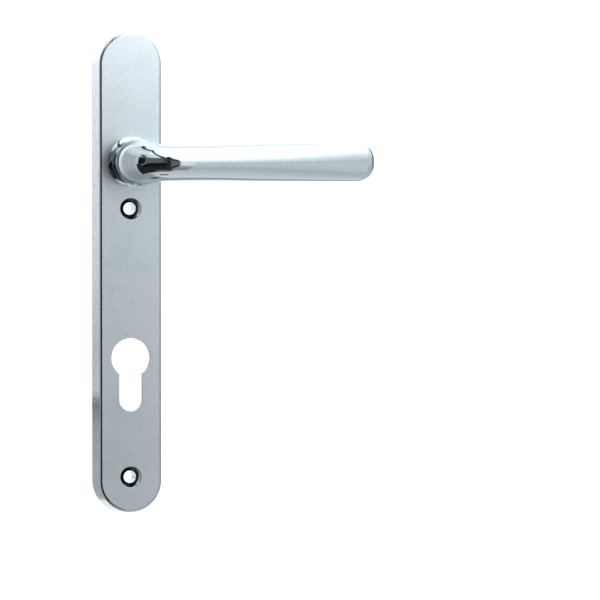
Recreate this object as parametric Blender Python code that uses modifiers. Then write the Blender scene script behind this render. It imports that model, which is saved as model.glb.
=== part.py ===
"""Sprung lever door handle on a long backplate, as an assembly of separate pieces.

World frame: origin on the spindle axis in the plane of the door's face, +Z up along
the plate, +X along the lever, -Y out of the door towards the user.
Every piece hangs from an empty turned so that its local x is across the plate,
y is up the plate and z is the distance in front of the door's face.
"""
import bpy
import bmesh
from math import pi, sin, cos, asin, acos, atan, sqrt, radians

# ---------------------------------------------------------------- driving dimensions
GAP = 0.0003                 # between faces that would touch
RUN = 0.0001                 # radial running clearance of the shank in its bushes

PLATE_LENGTH = 0.2200
PLATE_TOP = 0.0596           # spindle axis to the plate's top
PLATE_WIDTH = 0.0308         # at the door's face
PLATE_DEPTH = 0.0125
PLATE_WALL = 0.0020          # side walls
PLATE_FACE = 0.0024          # front wall
PLATE_DRAFT = 0.0011         # what each side draws in from back to front
PLATE_EDGE = 0.0011          # radius along the front edge

SCREW_CENTRES = 0.1220
UPPER_SCREW_DROP = 0.0213    # spindle axis down to the upper fixing hole
FIXING_BORE = 0.0057
FIXING_HEAD = 0.0097         # mouth of the countersink
FIXING_BOSS = 0.0124

KEY_DROP = 0.0890            # spindle axis down to the lock cylinder's centre
KEY_ROUND = 0.0180
KEY_SLOT = 0.0107
KEY_HEIGHT = 0.0333

COLLAR_HEIGHT = 0.0042       # stands proud of the plate
COLLAR_LAP = 0.00175         # how far it laps over the plate round its sleeve
COLLAR_DOME = 0.00475        # radius of its domed face
COLLAR_TILT = (15, 42)       # the dome's slope at its inner and outer edge, in degrees
SPIGOT_WALL = 0.0006         # the collar's sleeve through the plate
BUSH_WALL = 0.00105
BUSH_FLANGE = 0.0010
FLANGE_THICK = 0.00055
WASHER_THICK = 0.00065
WASHER_LAP = 0.0006          # retaining washer past the clip
SLIDE = 0.00015              # end play between stacked pieces

SHANK = 0.0150               # lever's round shank, diameter
SHANK_FLAT = 0.0012          # depth of each of its two driving flats
SHANK_END = 0.00015          # its back end in front of the door's face
SHANK_CHAMFER = 0.0002
NECK_EDGE = 0.0004           # chamfer round the neck's shoulder
NECK_LAP = 0.00035           # how far the neck's shoulder laps over the washer
NECK_HIGH = 0.0211           # neck's height at its fullest
NECK_WIDE = 0.0190
BAR_START_HIGH = 0.0162
BAR_START_THICK = 0.0145
BAR_END_HIGH = 0.0173
BAR_END_THICK = 0.0084
LEVER_REACH = 0.1060         # spindle axis to tip
LEVER_STANDOFF = 0.0432      # door's face to the bar's centre line
LEVER_SWEEP = 0.0011         # how far the centre line still rises past the elbow
BAR_WAIST = 0.0004           # how much lower the bar is just past the elbow
BAR_POWER = 2.15             # section's superellipse power where the bar starts
BAR_FLATTER = 1.6            # what the power gains by the tip
ELBOW_RADIUS = 0.0120
TIP_ROUND = 0.0090           # length of the rounded end

SPINDLE = 0.0080             # square bar
SPINDLE_REAR = 0.0450        # reach behind the door's face
SPINDLE_PAST = 0.0040        # reach past the grub screw's axis inside the neck
SPINDLE_CORNER = 0.0004
SOCKET_CLEAR = 0.0002
GRUB_SCREW = 0.0049
GRUB_OUT = 0.0300            # door's face to the grub screw's axis
GRUB_SUNK = 0.0005           # below the neck's underside
GRUB_KEY = 0.0025            # across the flats of its hexagon socket

SPOOL_WALL = 0.0006          # sleeve between the shank and the spring
WIRE = 0.0014                # return spring
COIL_GAP = 0.0001
LEG_CLEAR = 0.0004           # between each leg and the anchor pin
PIN = 0.0022                 # anchor and stop pins
PIN_LAND = 0.00085           # plate left between their holes and the collar's
PIN_CLEAR = 0.0002
PIN_SUNK = 0.0013            # depth of their blind holes

CAM_THICK = 0.0010
CAM_REACH = 0.0004           # past the stop pin's centre
FINGER_WIDE = 0.0026
FINGER_THICK = 0.0012
LEVER_SWING = 50.0           # degrees each way
STOP_SLACK = 0.8             # degrees left before the cam meets the stop pin

COVER_THICK = 0.0010
COVER_SIDE = 0.0021          # clear of the plate's side walls
COVER_CORNER = 0.0030
COVER_MARGIN = 0.0023        # screw centres in from the sides
COVER_ABOVE = 0.0027         # cover's top above the upper screws
COVER_SCREW = 0.0024         # thread
COVER_HEAD = 0.0044
COVER_HEAD_THICK = 0.0012
HEAD_CHAMFER = 0.0004
SLOT_WIDE = 0.0006
SLOT_DEEP = 0.0006
COVER_SCREW_DEEP = 0.0054
COVER_BOSS = 0.0046
COVER_BOSS_CLEAR = 0.00046   # lower bosses clear of the cam
COVER_BOSS_RISE = 0.0026     # upper bosses above the finger's sweep

CLIP_THICK = 0.00055
CLIP_RIM = 0.0014            # how far the clip stands out of the shank
CLIP_GROOVE = 0.0008         # depth of its groove
CLIP_OPENING = 24            # half of its gap, in degrees

RIB_THICK = 0.0016
RIB_DEEP = 0.0036
RIBS = (0.0370, -0.0520, -0.1260)

PAST = 0.0010                # how far a cutter runs past what it cuts
SUNK = 0.0006                # how far a boss or rib is sunk into its wall
SIDES = 32                   # facets of a turned piece
LEVER_SIDES = 28

# ---------------------------------------------------------------- worked-out places
plate_bottom = PLATE_TOP - PLATE_LENGTH
wall_back = PLATE_DEPTH - PLATE_FACE
upper_screw = -UPPER_SCREW_DROP
lower_screw = upper_screw - SCREW_CENTRES
shank_r = SHANK / 2
collar_seat = PLATE_DEPTH + GAP
collar_front = PLATE_DEPTH + COLLAR_HEIGHT
shoulder = collar_front + GAP
bush_r = shank_r + RUN + BUSH_WALL
collar_bore = bush_r + GAP
spigot_r = collar_bore + SPIGOT_WALL
collar_r = spigot_r + COLLAR_LAP
neck_base_r = collar_bore + NECK_LAP
clip_back = SHANK_END + 3 * SLIDE
washer_back = clip_back + CLIP_THICK + SLIDE
cover_back = washer_back + WASHER_THICK + SLIDE + PIN_CLEAR
cover_front = cover_back + COVER_THICK
flange_back = cover_front + SLIDE
cam_back = flange_back + FLANGE_THICK + GAP
cam_front = cam_back + CAM_THICK
spindle_front = GRUB_OUT + SPINDLE_PAST
clip_r = shank_r + CLIP_RIM
groove_r = shank_r - CLIP_GROOVE
elbow_turn = pi / 2 - atan(6 * LEVER_SWEEP / (LEVER_REACH - ELBOW_RADIUS))
bar_start = ELBOW_RADIUS * (1 - cos(elbow_turn))

spool_r = shank_r + RUN + SPOOL_WALL
spring_r = spool_r + GAP + WIRE / 2
spring_pitch = WIRE + COIL_GAP
spring_top = wall_back - WIRE / 2 - SLIDE - COIL_GAP
pin_circle = spigot_r + GAP + PIN_LAND + PIN_CLEAR + PIN / 2
pin_end = wall_back + PIN_SUNK
leg_turn = asin((PIN / 2 + LEG_CLEAR + WIRE / 2) / pin_circle) * 180 / pi
finger_r = pin_circle + PIN / 2 + GAP + FINGER_THICK / 2
finger_out = finger_r + FINGER_THICK / 2 + COIL_GAP
cam_r = pin_circle + CAM_REACH
notch_r = pin_circle - PIN / 2 - GAP
spring_turns = int((spring_top - WIRE / 2 - cam_front) / spring_pitch)

cover_half = PLATE_WIDTH / 2 - PLATE_WALL - COVER_SIDE
cover_bottom = upper_screw + FIXING_BOSS / 2 + GAP
cover_screw_x = cover_half - COVER_MARGIN
low_boss_r = cam_r + COVER_BOSS / 2 + COVER_BOSS_CLEAR
cover_screw_low = -sqrt(low_boss_r * low_boss_r - cover_screw_x * cover_screw_x)
cover_screw_high = finger_out + COVER_BOSS / 2 + COVER_BOSS_RISE
cover_top = cover_screw_high + COVER_ABOVE

# ---------------------------------------------------------------- scene and helpers
for old in list(bpy.data.objects):
    bpy.data.objects.remove(old, do_unlink=True)

parts = bpy.data.collections.new("lever_handle")
cutters = bpy.data.collections.new("cutters")
bpy.context.scene.collection.children.link(parts)
bpy.context.scene.collection.children.link(cutters)

door_face = bpy.data.objects.new("door_face", None)
door_face.rotation_euler = (pi / 2, 0, 0)
parts.objects.link(door_face)
lever_axis = bpy.data.objects.new("lever_axis", None)
lever_axis.parent = door_face
parts.objects.link(lever_axis)


def material(name, colour, roughness, metallic):
    mat = bpy.data.materials.new(name)
    mat.use_nodes = True
    shader = mat.node_tree.nodes["Principled BSDF"]
    shader.inputs["Base Color"].default_value = (*colour, 1)
    shader.inputs["Roughness"].default_value = roughness
    shader.inputs["Metallic"].default_value = metallic
    return mat


def place(obj, parent, mat):
    """Link a piece under its parent empty and give it its material."""
    parts.objects.link(obj)
    obj.parent = parent
    obj.data.materials.append(mat)
    return obj


def as_cutter(obj):
    """Link a shape that only cuts or joins another."""
    cutters.objects.link(obj)
    obj.parent = door_face
    obj.hide_render = True
    obj.display_type = 'WIRE'
    return obj


def boolean(obj, tool, operation='DIFFERENCE'):
    mod = obj.modifiers.new(tool.name, 'BOOLEAN')
    mod.operation = operation
    mod.solver = 'EXACT'
    mod.object = tool


def smooth(obj, angle=35):
    obj.data.shade_smooth()
    obj.data.set_sharp_from_angle(angle=radians(angle))


def from_bmesh(name, bm):
    bmesh.ops.recalc_face_normals(bm, faces=bm.faces)
    mesh = bpy.data.meshes.new(name)
    bm.to_mesh(mesh)
    bm.free()
    return bpy.data.objects.new(name, mesh)


def loft(name, rings):
    """A closed body through rings of equal count, flat at both ends."""
    bm = bmesh.new()
    loops = [[bm.verts.new(point) for point in ring] for ring in rings]
    for low, high in zip(loops, loops[1:]):
        for i in range(len(low)):
            j = (i + 1) % len(low)
            bm.faces.new((low[i], low[j], high[j], high[i]))
    bm.faces.new(loops[0])
    bm.faces.new(loops[-1])
    return from_bmesh(name, bm)


def prism(name, outline, back, front):
    return loft(name, [[(x, y, z) for x, y in outline] for z in (back, front)])


def box(name, size, centre):
    bm = bmesh.new()
    bmesh.ops.create_cube(bm, size=1)
    bmesh.ops.scale(bm, vec=size, verts=bm.verts)
    bmesh.ops.translate(bm, vec=centre, verts=bm.verts)
    return from_bmesh(name, bm)


def rod(name, radius, back, front, x=0.0, y=0.0, sides=SIDES):
    """A plain cylinder along the spindle's direction."""
    bm = bmesh.new()
    bmesh.ops.create_cone(bm, cap_ends=True, segments=sides, radius1=radius,
                          radius2=radius, depth=front - back)
    bmesh.ops.translate(bm, vec=(x, y, (back + front) / 2), verts=bm.verts)
    return from_bmesh(name, bm)


def turned(name, profile, steps=SIDES):
    """A profile of (radius, z) swept round the spindle axis; the outer side runs down.

    A profile that starts on the axis also ends there and is left open along it.
    """
    mesh = bpy.data.meshes.new(name)
    count = len(profile)
    edges = [(i, i + 1) for i in range(count - 1)]
    if profile[0][0] > 0:
        edges.append((count - 1, 0))
    mesh.from_pydata([(r, 0, z) for r, z in profile], edges, [])
    obj = bpy.data.objects.new(name, mesh)
    screw = obj.modifiers.new("turn", 'SCREW')
    screw.axis = 'Z'
    screw.steps = steps
    screw.render_steps = steps
    screw.use_merge_vertices = True
    screw.merge_threshold = 0.00001
    return obj


def ring_profile(inner, outer, back, front):
    return [(outer, front), (outer, back), (inner, back), (inner, front)]


def arc(cx, cy, radius, start, end, count):
    """Points on an arc, angles in degrees."""
    turn = [radians(start + (end - start) * i / count) for i in range(count + 1)]
    return [(cx + radius * cos(a), cy + radius * sin(a)) for a in turn]


def stadium(inset, count=20):
    """The plate's outline with full round ends, drawn in by inset."""
    radius = PLATE_WIDTH / 2 - inset
    high = PLATE_TOP - PLATE_WIDTH / 2
    low = plate_bottom + PLATE_WIDTH / 2
    return arc(0, high, radius, 0, 180, count) + arc(0, low, radius, 180, 360, count)


def draft(z):
    """How far the plate's side has drawn in at a distance from the door."""
    return PLATE_DRAFT * z / (PLATE_DEPTH - PLATE_EDGE)


# ---------------------------------------------------------------- finishes
satin = material("satin_plate", (0.62, 0.64, 0.66), 0.30, 1.0)
chrome = material("polished_chrome", (0.80, 0.81, 0.82), 0.06, 1.0)
nylon = material("white_nylon", (0.82, 0.81, 0.77), 0.45, 0.0)
zinc_steel = material("zinc_plated_steel", (0.62, 0.63, 0.62), 0.35, 1.0)
spring_steel = material("spring_steel", (0.30, 0.30, 0.31), 0.30, 1.0)
black_steel = material("black_steel", (0.05, 0.05, 0.055), 0.40, 1.0)
pin_steel = material("ground_steel", (0.55, 0.55, 0.56), 0.22, 1.0)


# ---------------------------------------------------------------- backplate
def make_backplate():
    rings = []
    for z in (0, PLATE_DEPTH - PLATE_EDGE):
        rings.append([(x, y, z) for x, y in stadium(draft(z))])
    for step in (30, 60, 90):
        inset = PLATE_DRAFT + PLATE_EDGE * (1 - cos(radians(step)))
        z = PLATE_DEPTH - PLATE_EDGE * (1 - sin(radians(step)))
        rings.append([(x, y, z) for x, y in stadium(inset)])
    plate = loft("backplate", rings)

    hollow = [[(x, y, z) for x, y in stadium(draft(z) + PLATE_WALL)]
              for z in (-PAST, wall_back)]
    boolean(plate, as_cutter(loft("plate_hollow", hollow)))

    for i, y in enumerate((upper_screw, lower_screw)):
        boss = rod(f"fixing_boss_{i}", FIXING_BOSS / 2, 0, wall_back + SUNK, 0, y)
        boolean(plate, as_cutter(boss), 'UNION')
    for i, (x, y) in enumerate(cover_screw_places()):
        boss = rod(f"cover_boss_{i}", COVER_BOSS / 2, cover_front + GAP,
                   wall_back + SUNK, x, y, 16)
        boolean(plate, as_cutter(boss), 'UNION')
    for i, y in enumerate(RIBS):
        size = (PLATE_WIDTH - 2 * PLATE_WALL - PLATE_DRAFT, RIB_THICK, RIB_DEEP + SUNK)
        rib = box(f"rib_{i}", size, (0, y, wall_back + SUNK - size[2] / 2))
        boolean(plate, as_cutter(rib), 'UNION')

    cone = (FIXING_HEAD - FIXING_BORE) / 2
    for i, y in enumerate((upper_screw, lower_screw)):
        hole = turned(f"fixing_hole_{i}", [
            (0, PLATE_DEPTH + PAST), (FIXING_HEAD / 2 + PAST, PLATE_DEPTH + PAST),
            (FIXING_BORE / 2, PLATE_DEPTH - cone), (FIXING_BORE / 2, -PAST), (0, -PAST)])
        hole.location.y = y
        boolean(plate, as_cutter(hole))
    for i, (x, y) in enumerate(cover_screw_places()):
        deep = cover_back + COVER_SCREW_DEEP + PAST
        hole = rod(f"cover_thread_{i}", COVER_SCREW / 2 + GAP, 0, deep, x, y, 12)
        boolean(plate, as_cutter(hole))
    for i, y in enumerate((pin_circle, -pin_circle)):
        hole = rod(f"pin_hole_{i}", PIN / 2 + PIN_CLEAR, wall_back - PAST, pin_end + PIN_CLEAR,
                   0, y, 12)
        boolean(plate, as_cutter(hole))
    bore = rod("collar_hole", spigot_r + GAP, wall_back - PAST, PLATE_DEPTH + PAST)
    boolean(plate, as_cutter(bore))

    big = KEY_ROUND / 2
    slot = KEY_SLOT / 2
    foot = big - KEY_DROP - KEY_HEIGHT + slot
    meet = 90 - asin(slot / big) * 180 / pi
    outline = arc(0, foot, slot, 180, 360, 10) + arc(0, -KEY_DROP, big, -meet, 180 + meet, 24)
    key = prism("key_hole", outline, wall_back - PAST, PLATE_DEPTH + PAST)
    boolean(plate, as_cutter(key))
    smooth(plate)
    return place(plate, door_face, satin)


def cover_screw_places():
    return [(side * cover_screw_x, y)
            for y in (cover_screw_high, cover_screw_low) for side in (-1, 1)]


# ---------------------------------------------------------------- collar and bearings
def make_collar():
    inner, outer = COLLAR_TILT
    dome = arc(collar_r - COLLAR_DOME * sin(radians(outer)),
               collar_front - COLLAR_DOME * cos(radians(inner)), COLLAR_DOME,
               90 - inner, 90 - outer, 4)
    sleeve_end = wall_back - PIN_CLEAR
    collar = turned("collar_ring", dome + [
        (collar_r, collar_seat), (spigot_r, collar_seat), (spigot_r, sleeve_end),
        (collar_bore, sleeve_end), (collar_bore, collar_front)], 40)
    smooth(collar)
    place(collar, door_face, chrome)

    bush_front = collar_front - WASHER_THICK - GAP
    bush = turned("neck_bush", ring_profile(shank_r + RUN, bush_r,
                                            wall_back - RUN, bush_front))
    smooth(bush)
    place(bush, door_face, nylon)
    washer = turned("front_thrust_washer", ring_profile(
        shank_r + 2 * RUN, bush_r, collar_front - WASHER_THICK, collar_front))
    smooth(washer)
    place(washer, door_face, nylon)


# ---------------------------------------------------------------- lever
def section(centre, along, half_thick, half_high, power):
    """A superellipse ring across the centre line; along is (x, z) of its direction."""
    side = (-along[1], along[0])
    ring = []
    for i in range(LEVER_SIDES):
        a = 2 * pi * i / LEVER_SIDES
        across = abs(cos(a)) ** (2 / power) * (1 if cos(a) >= 0 else -1) * half_thick
        up = abs(sin(a)) ** (2 / power) * (1 if sin(a) >= 0 else -1) * half_high
        ring.append((centre[0] + side[0] * across, up, centre[1] + side[1] * across))
    return ring


def mix(a, b, t):
    return a + (b - a) * t


def ease(t):
    return t * t * (3 - 2 * t)


def lever_rings():
    rings = []
    groove_back = clip_back - RUN
    groove_end = clip_back + CLIP_THICK + RUN
    neck_start = shoulder + NECK_EDGE
    shank = ((SHANK_END, shank_r - SHANK_CHAMFER), (SHANK_END + SHANK_CHAMFER, shank_r),
             (groove_back, shank_r), (groove_back, groove_r), (groove_end, groove_r),
             (groove_end, shank_r), (shoulder, shank_r),
             (shoulder, neck_base_r - NECK_EDGE), (neck_start, neck_base_r))
    for z, radius in shank:
        rings.append(section((0, z), (0, 1), radius, radius, 2))

    neck_end = LEVER_STANDOFF - ELBOW_RADIUS * sin(elbow_turn)
    base = 2 * neck_base_r
    for t in (0.25, 0.5, 0.75, 1):
        z = mix(neck_start, neck_end, t)
        rings.append(section((0, z), (0, 1), mix(base, NECK_WIDE, ease(t)) / 2,
                             mix(base, NECK_HIGH, ease(min(1, t * 1.4))) / 2, 2))

    steps = 8
    for i in range(1, steps + 1):
        t = i / steps
        turn = t * elbow_turn
        centre = (ELBOW_RADIUS * (1 - cos(turn)), neck_end + ELBOW_RADIUS * sin(turn))
        rings.append(section(centre, (sin(turn), cos(turn)),
                             mix(NECK_WIDE, BAR_START_THICK, ease(t)) / 2,
                             mix(NECK_HIGH, BAR_START_HIGH, ease(t)) / 2,
                             mix(2, BAR_POWER, t)))

    bar_end = LEVER_REACH - TIP_ROUND
    stations = [0.09, 0.2, 0.35, 0.5, 0.65, 0.8, 0.92, 1]
    for t in stations:
        rings.append(bar_section(mix(bar_start, bar_end, t), 1))
    power = 2.2
    for share in (0.3, 0.52, 0.7, 0.84, 0.93, 0.98):
        scale = (1 - share ** power) ** (1 / power)
        rings.append(bar_section(bar_end + TIP_ROUND * share, scale))
    return rings


def bar_section(x, scale):
    """The bar's section at a distance along the lever, shrunk towards the tip."""
    run = LEVER_REACH - bar_start
    t = (x - bar_start) / run
    z = LEVER_STANDOFF + LEVER_SWEEP * (1 - (1 - t) ** 6)
    slope = 6 * LEVER_SWEEP / run * (1 - t) ** 5
    length = sqrt(1 + slope * slope)
    waist = BAR_WAIST * sin(pi * min(1, t * 2.5))
    thick = mix(BAR_START_THICK, BAR_END_THICK, ease(t))
    high = mix(BAR_START_HIGH, BAR_END_HIGH, ease(t)) - waist
    return section((x, z), (1 / length, slope / length), thick / 2 * scale,
                   high / 2 * scale, BAR_POWER + BAR_FLATTER * t ** 4)


def make_lever():
    lever = loft("lever", lever_rings())
    wide = SPINDLE + 2 * SOCKET_CLEAR
    deep = spindle_front + GAP + PAST
    socket = box("socket", (wide, wide, deep), (0, 0, deep / 2 - PAST))
    boolean(lever, as_cutter(socket))
    flat_deep = cam_front + GAP + PAST
    for side in (-1, 1):
        flat = box(f"flat_{side}", (SHANK, SHANK + PAST, flat_deep),
                   (side * (2 * shank_r - SHANK_FLAT), 0, flat_deep / 2 - PAST))
        boolean(lever, as_cutter(flat))
    hole = rod("grub_hole", GRUB_SCREW / 2 + GAP, 0, NECK_HIGH / 2 + PAST, sides=16)
    hole.rotation_euler = (pi / 2, 0, 0)
    hole.location.z = GRUB_OUT
    boolean(lever, as_cutter(hole))
    smooth(lever, 40)
    place(lever, lever_axis, chrome)


def make_spindle():
    length = spindle_front + SPINDLE_REAR
    spindle = box("spindle", (SPINDLE, SPINDLE, length),
                  (0, 0, (spindle_front - SPINDLE_REAR) / 2))
    bevel = spindle.modifiers.new("corners", 'BEVEL')
    bevel.width = SPINDLE_CORNER
    bevel.segments = 1
    place(spindle, lever_axis, zinc_steel)


def make_grub_screw():
    top = SPINDLE / 2 + GAP
    low = NECK_HIGH / 2 - GRUB_SUNK
    screw = rod("grub_screw", GRUB_SCREW / 2, top, low, sides=16)
    screw.rotation_euler = (pi / 2, 0, 0)
    screw.location.z = GRUB_OUT
    key = rod("grub_key", GRUB_KEY / 2 / cos(pi / 6), low - 2 * PAST, low + PAST, sides=6)
    key.rotation_euler = (pi / 2, 0, 0)
    key.location.z = GRUB_OUT
    boolean(screw, as_cutter(key))
    smooth(screw)
    place(screw, lever_axis, black_steel)


# ---------------------------------------------------------------- spring mechanism
def make_spring():
    coil = 360 * spring_turns - 2 * leg_turn
    bend = 7.0
    corner = 1.7
    straight = spring_r + 0.8 * WIRE
    rounding = spring_r + 0.25 * WIRE
    path = [(finger_out, 0), (straight, 0), (rounding, corner)]
    count = 19 * spring_turns
    path += [(spring_r, bend + (coil - 2 * bend) * i / count) for i in range(count + 1)]
    path += [(rounding, coil - corner), (straight, coil), (finger_out, coil)]
    curve = bpy.data.curves.new("return_spring", 'CURVE')
    curve.dimensions = '3D'
    curve.bevel_depth = WIRE / 2
    curve.bevel_resolution = 2
    curve.use_fill_caps = True
    spline = curve.splines.new('POLY')
    spline.points.add(len(path) - 1)
    for point, (radius, turn) in zip(spline.points, path):
        a = radians(90 + leg_turn + turn)
        z = spring_top - spring_pitch * turn / 360
        point.co = (radius * cos(a), radius * sin(a), z, 1)
    spring = bpy.data.objects.new("return_spring", curve)
    place(spring, door_face, spring_steel)


def make_pins():
    for name, y, end in (("anchor_pin", pin_circle, cam_front + GAP),
                         ("stop_pin", -pin_circle, cam_back - COIL_GAP)):
        pin = rod(name, PIN / 2, end, pin_end, 0, y, 16)
        smooth(pin)
        place(pin, door_face, pin_steel)


def make_spool():
    spool = turned("spring_spool", ring_profile(
        shank_r + RUN, spool_r, cam_front + GAP, wall_back - GAP))
    smooth(spool)
    place(spool, door_face, nylon)


def make_cam():
    stop = LEVER_SWING + STOP_SLACK + asin(PIN / 2 / pin_circle) * 180 / pi
    half = FINGER_WIDE / 2 + COIL_GAP
    lean = asin(half / cam_r) * 180 / pi
    top = sqrt(finger_out * finger_out - half * half)
    outline = arc(0, 0, cam_r, -90 + stop, 90 - lean, 14)
    outline += [(half, top), (-half, top)]
    outline += arc(0, 0, cam_r, 90 + lean, 270 - stop, 14)
    outline += arc(0, 0, notch_r, 270 - stop, 270 + stop, 14)
    cam = prism("drive_cam", outline, cam_back, cam_front)

    flat = shank_r - SHANK_FLAT + GAP
    bore = shank_r + GAP
    lead = acos(flat / bore) * 180 / pi
    hole = arc(0, 0, bore, lead, 180 - lead, 10) + arc(0, 0, bore, 180 + lead, 360 - lead, 10)
    boolean(cam, as_cutter(prism("cam_bore", hole, cam_back - PAST, cam_front + PAST)))
    finger_end = wall_back - GAP - PIN_CLEAR
    finger_back = cam_back + CAM_THICK / 2
    finger = box("finger", (FINGER_WIDE, FINGER_THICK, finger_end - finger_back),
                 (0, finger_r - COIL_GAP, (finger_end + finger_back) / 2))
    boolean(cam, as_cutter(finger), 'UNION')
    smooth(cam)
    place(cam, lever_axis, zinc_steel)


def make_cover():
    side = cover_half - COVER_CORNER
    high = cover_top - COVER_CORNER
    low = cover_bottom + COVER_CORNER
    outline = []
    for x, y, start in ((side, high, 0), (-side, high, 90), (-side, low, 180), (side, low, 270)):
        outline += arc(x, y, COVER_CORNER, start, start + 90, 5)
    cover = prism("spring_cover", outline, cover_back, cover_front)
    hole = rod("cover_bore", bush_r + GAP, cover_back - PAST, cover_front + PAST)
    boolean(cover, as_cutter(hole))
    for i, (x, y) in enumerate(cover_screw_places()):
        hole = rod(f"cover_hole_{i}", COVER_SCREW / 2 + GAP, cover_back - PAST,
                   cover_front + PAST, x, y, 12)
        boolean(cover, as_cutter(hole))
    smooth(cover)
    place(cover, door_face, zinc_steel)

    flange_r = bush_r + BUSH_FLANGE
    flange_front = flange_back + FLANGE_THICK
    bush = turned("rear_bush", [
        (flange_r, flange_front), (flange_r, flange_back), (bush_r, flange_back),
        (bush_r, cover_back - RUN), (shank_r + RUN, cover_back - RUN),
        (shank_r + RUN, flange_front)])
    smooth(bush)
    place(bush, door_face, nylon)


def make_cover_screws():
    head = cover_back - RUN
    for i, (x, y) in enumerate(cover_screw_places()):
        radius = COVER_HEAD / 2
        crown = head - COVER_HEAD_THICK
        tip = head + COVER_SCREW_DEEP
        screw = turned(f"cover_screw_{i + 1}", [
            (0, tip), (COVER_SCREW / 2, tip), (COVER_SCREW / 2, head), (radius, head),
            (radius, crown + HEAD_CHAMFER), (radius - HEAD_CHAMFER, crown), (0, crown)], 16)
        screw.location = (x, y, 0)
        slot = box(f"screw_slot_{i}", (SLOT_WIDE, COVER_HEAD + PAST, 2 * SLOT_DEEP),
                   (x, y, crown))
        boolean(screw, as_cutter(slot))
        smooth(screw)
        place(screw, door_face, zinc_steel)


def make_retainers():
    washer = turned("retaining_washer", ring_profile(
        shank_r + 2 * RUN, clip_r + WASHER_LAP, washer_back, washer_back + WASHER_THICK))
    smooth(washer)
    place(washer, lever_axis, zinc_steel)

    inner = groove_r + PIN_CLEAR
    first = -90 + CLIP_OPENING
    last = 270 - CLIP_OPENING
    outline = arc(0, 0, clip_r, first, last, 28) + arc(0, 0, inner, last, first, 28)
    clip = prism("circlip", outline, clip_back, clip_back + CLIP_THICK)
    smooth(clip)
    place(clip, lever_axis, spring_steel)


make_backplate()
make_collar()
make_lever()
make_spindle()
make_grub_screw()
make_spring()
make_pins()
make_spool()
make_cam()
make_cover()
make_cover_screws()
make_retainers()
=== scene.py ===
from math import pi, sin, cos, asin, atan, sqrt, radians

import bmesh
import bpy
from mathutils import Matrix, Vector


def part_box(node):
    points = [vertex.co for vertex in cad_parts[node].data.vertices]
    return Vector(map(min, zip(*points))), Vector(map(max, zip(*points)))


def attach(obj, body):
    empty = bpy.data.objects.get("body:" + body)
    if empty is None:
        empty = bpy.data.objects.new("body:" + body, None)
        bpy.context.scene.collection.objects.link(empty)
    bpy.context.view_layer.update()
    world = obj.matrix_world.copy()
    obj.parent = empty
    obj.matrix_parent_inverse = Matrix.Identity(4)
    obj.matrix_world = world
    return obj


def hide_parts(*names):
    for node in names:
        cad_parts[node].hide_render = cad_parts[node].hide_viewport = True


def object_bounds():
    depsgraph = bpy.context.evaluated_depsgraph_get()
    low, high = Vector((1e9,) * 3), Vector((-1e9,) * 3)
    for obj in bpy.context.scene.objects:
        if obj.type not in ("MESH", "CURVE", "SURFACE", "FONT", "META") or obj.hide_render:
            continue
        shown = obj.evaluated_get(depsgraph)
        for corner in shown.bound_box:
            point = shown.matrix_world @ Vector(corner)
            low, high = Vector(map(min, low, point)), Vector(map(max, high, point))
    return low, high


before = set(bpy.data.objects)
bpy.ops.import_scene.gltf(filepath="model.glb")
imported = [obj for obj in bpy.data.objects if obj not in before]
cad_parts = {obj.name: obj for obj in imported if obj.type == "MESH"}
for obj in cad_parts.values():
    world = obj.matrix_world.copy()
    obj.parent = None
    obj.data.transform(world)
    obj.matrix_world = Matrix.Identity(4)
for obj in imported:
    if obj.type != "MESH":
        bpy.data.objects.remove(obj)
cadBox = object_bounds()
print("frame loaded")

collection = bpy.data.collections.new("doorHandle")
bpy.context.scene.collection.children.link(collection)


# Small helpers for node trees.
def place(tree, kind, values=None, **props):
    made = tree.nodes.new("ShaderNode" + kind)
    for key, value in props.items():
        setattr(made, key, value)
    for key, value in (values or {}).items():
        made.inputs[key].default_value = value
    return made


def join(tree, source, target):
    tree.links.new(source, target)


def arithmetic(tree, operation, first, second=None, third=None, clamp=False):
    made = place(tree, "Math", operation=operation, use_clamp=clamp)
    for i, value in enumerate((first, second, third)):
        if value is None:
            continue
        if isinstance(value, (int, float)):
            made.inputs[i].default_value = value
        else:
            join(tree, value, made.inputs[i])
    return made.outputs[0]


def newGroup(name, inputs, outputs):
    tree = bpy.data.node_groups.new(name, "ShaderNodeTree")
    for label, kind, value in inputs:
        socket = tree.interface.new_socket(label, in_out="INPUT", socket_type=kind)
        socket.default_value = value
    for label, kind in outputs:
        tree.interface.new_socket(label, in_out="OUTPUT", socket_type=kind)
    return tree, tree.nodes.new("NodeGroupInput"), tree.nodes.new("NodeGroupOutput")


def useGroup(tree, group, values):
    made = tree.nodes.new("ShaderNodeGroup")
    made.node_tree = group
    for key, value in values.items():
        made.inputs[key].default_value = value
    return made


numberIn = "NodeSocketFloat"
vectorIn = "NodeSocketVector"


# Fine even grain left by satin plating, with a slow drift in its strength.
def makeFineGrain():
    tree, given, result = newGroup(
        "fineGrain",
        [("Size", numberIn, 0.0002), ("Drift", numberIn, 0.012)],
        [("Height", numberIn), ("Mask", numberIn)])
    where = place(tree, "TexCoord").outputs["Object"]
    perGrain = arithmetic(tree, "DIVIDE", 1.0, given.outputs["Size"])
    perDrift = arithmetic(tree, "DIVIDE", 1.0, given.outputs["Drift"])
    grain = place(tree, "TexNoise", {"Detail": 2.0, "Roughness": 0.6})
    slow = place(tree, "TexNoise", {"Detail": 3.0, "Roughness": 0.55})
    for texture, scale in ((grain, perGrain), (slow, perDrift)):
        join(tree, where, texture.inputs["Vector"])
        join(tree, scale, texture.inputs["Scale"])
    join(tree, grain.outputs["Fac"], result.inputs["Height"])
    join(tree, slow.outputs["Fac"], result.inputs["Mask"])
    return tree


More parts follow.
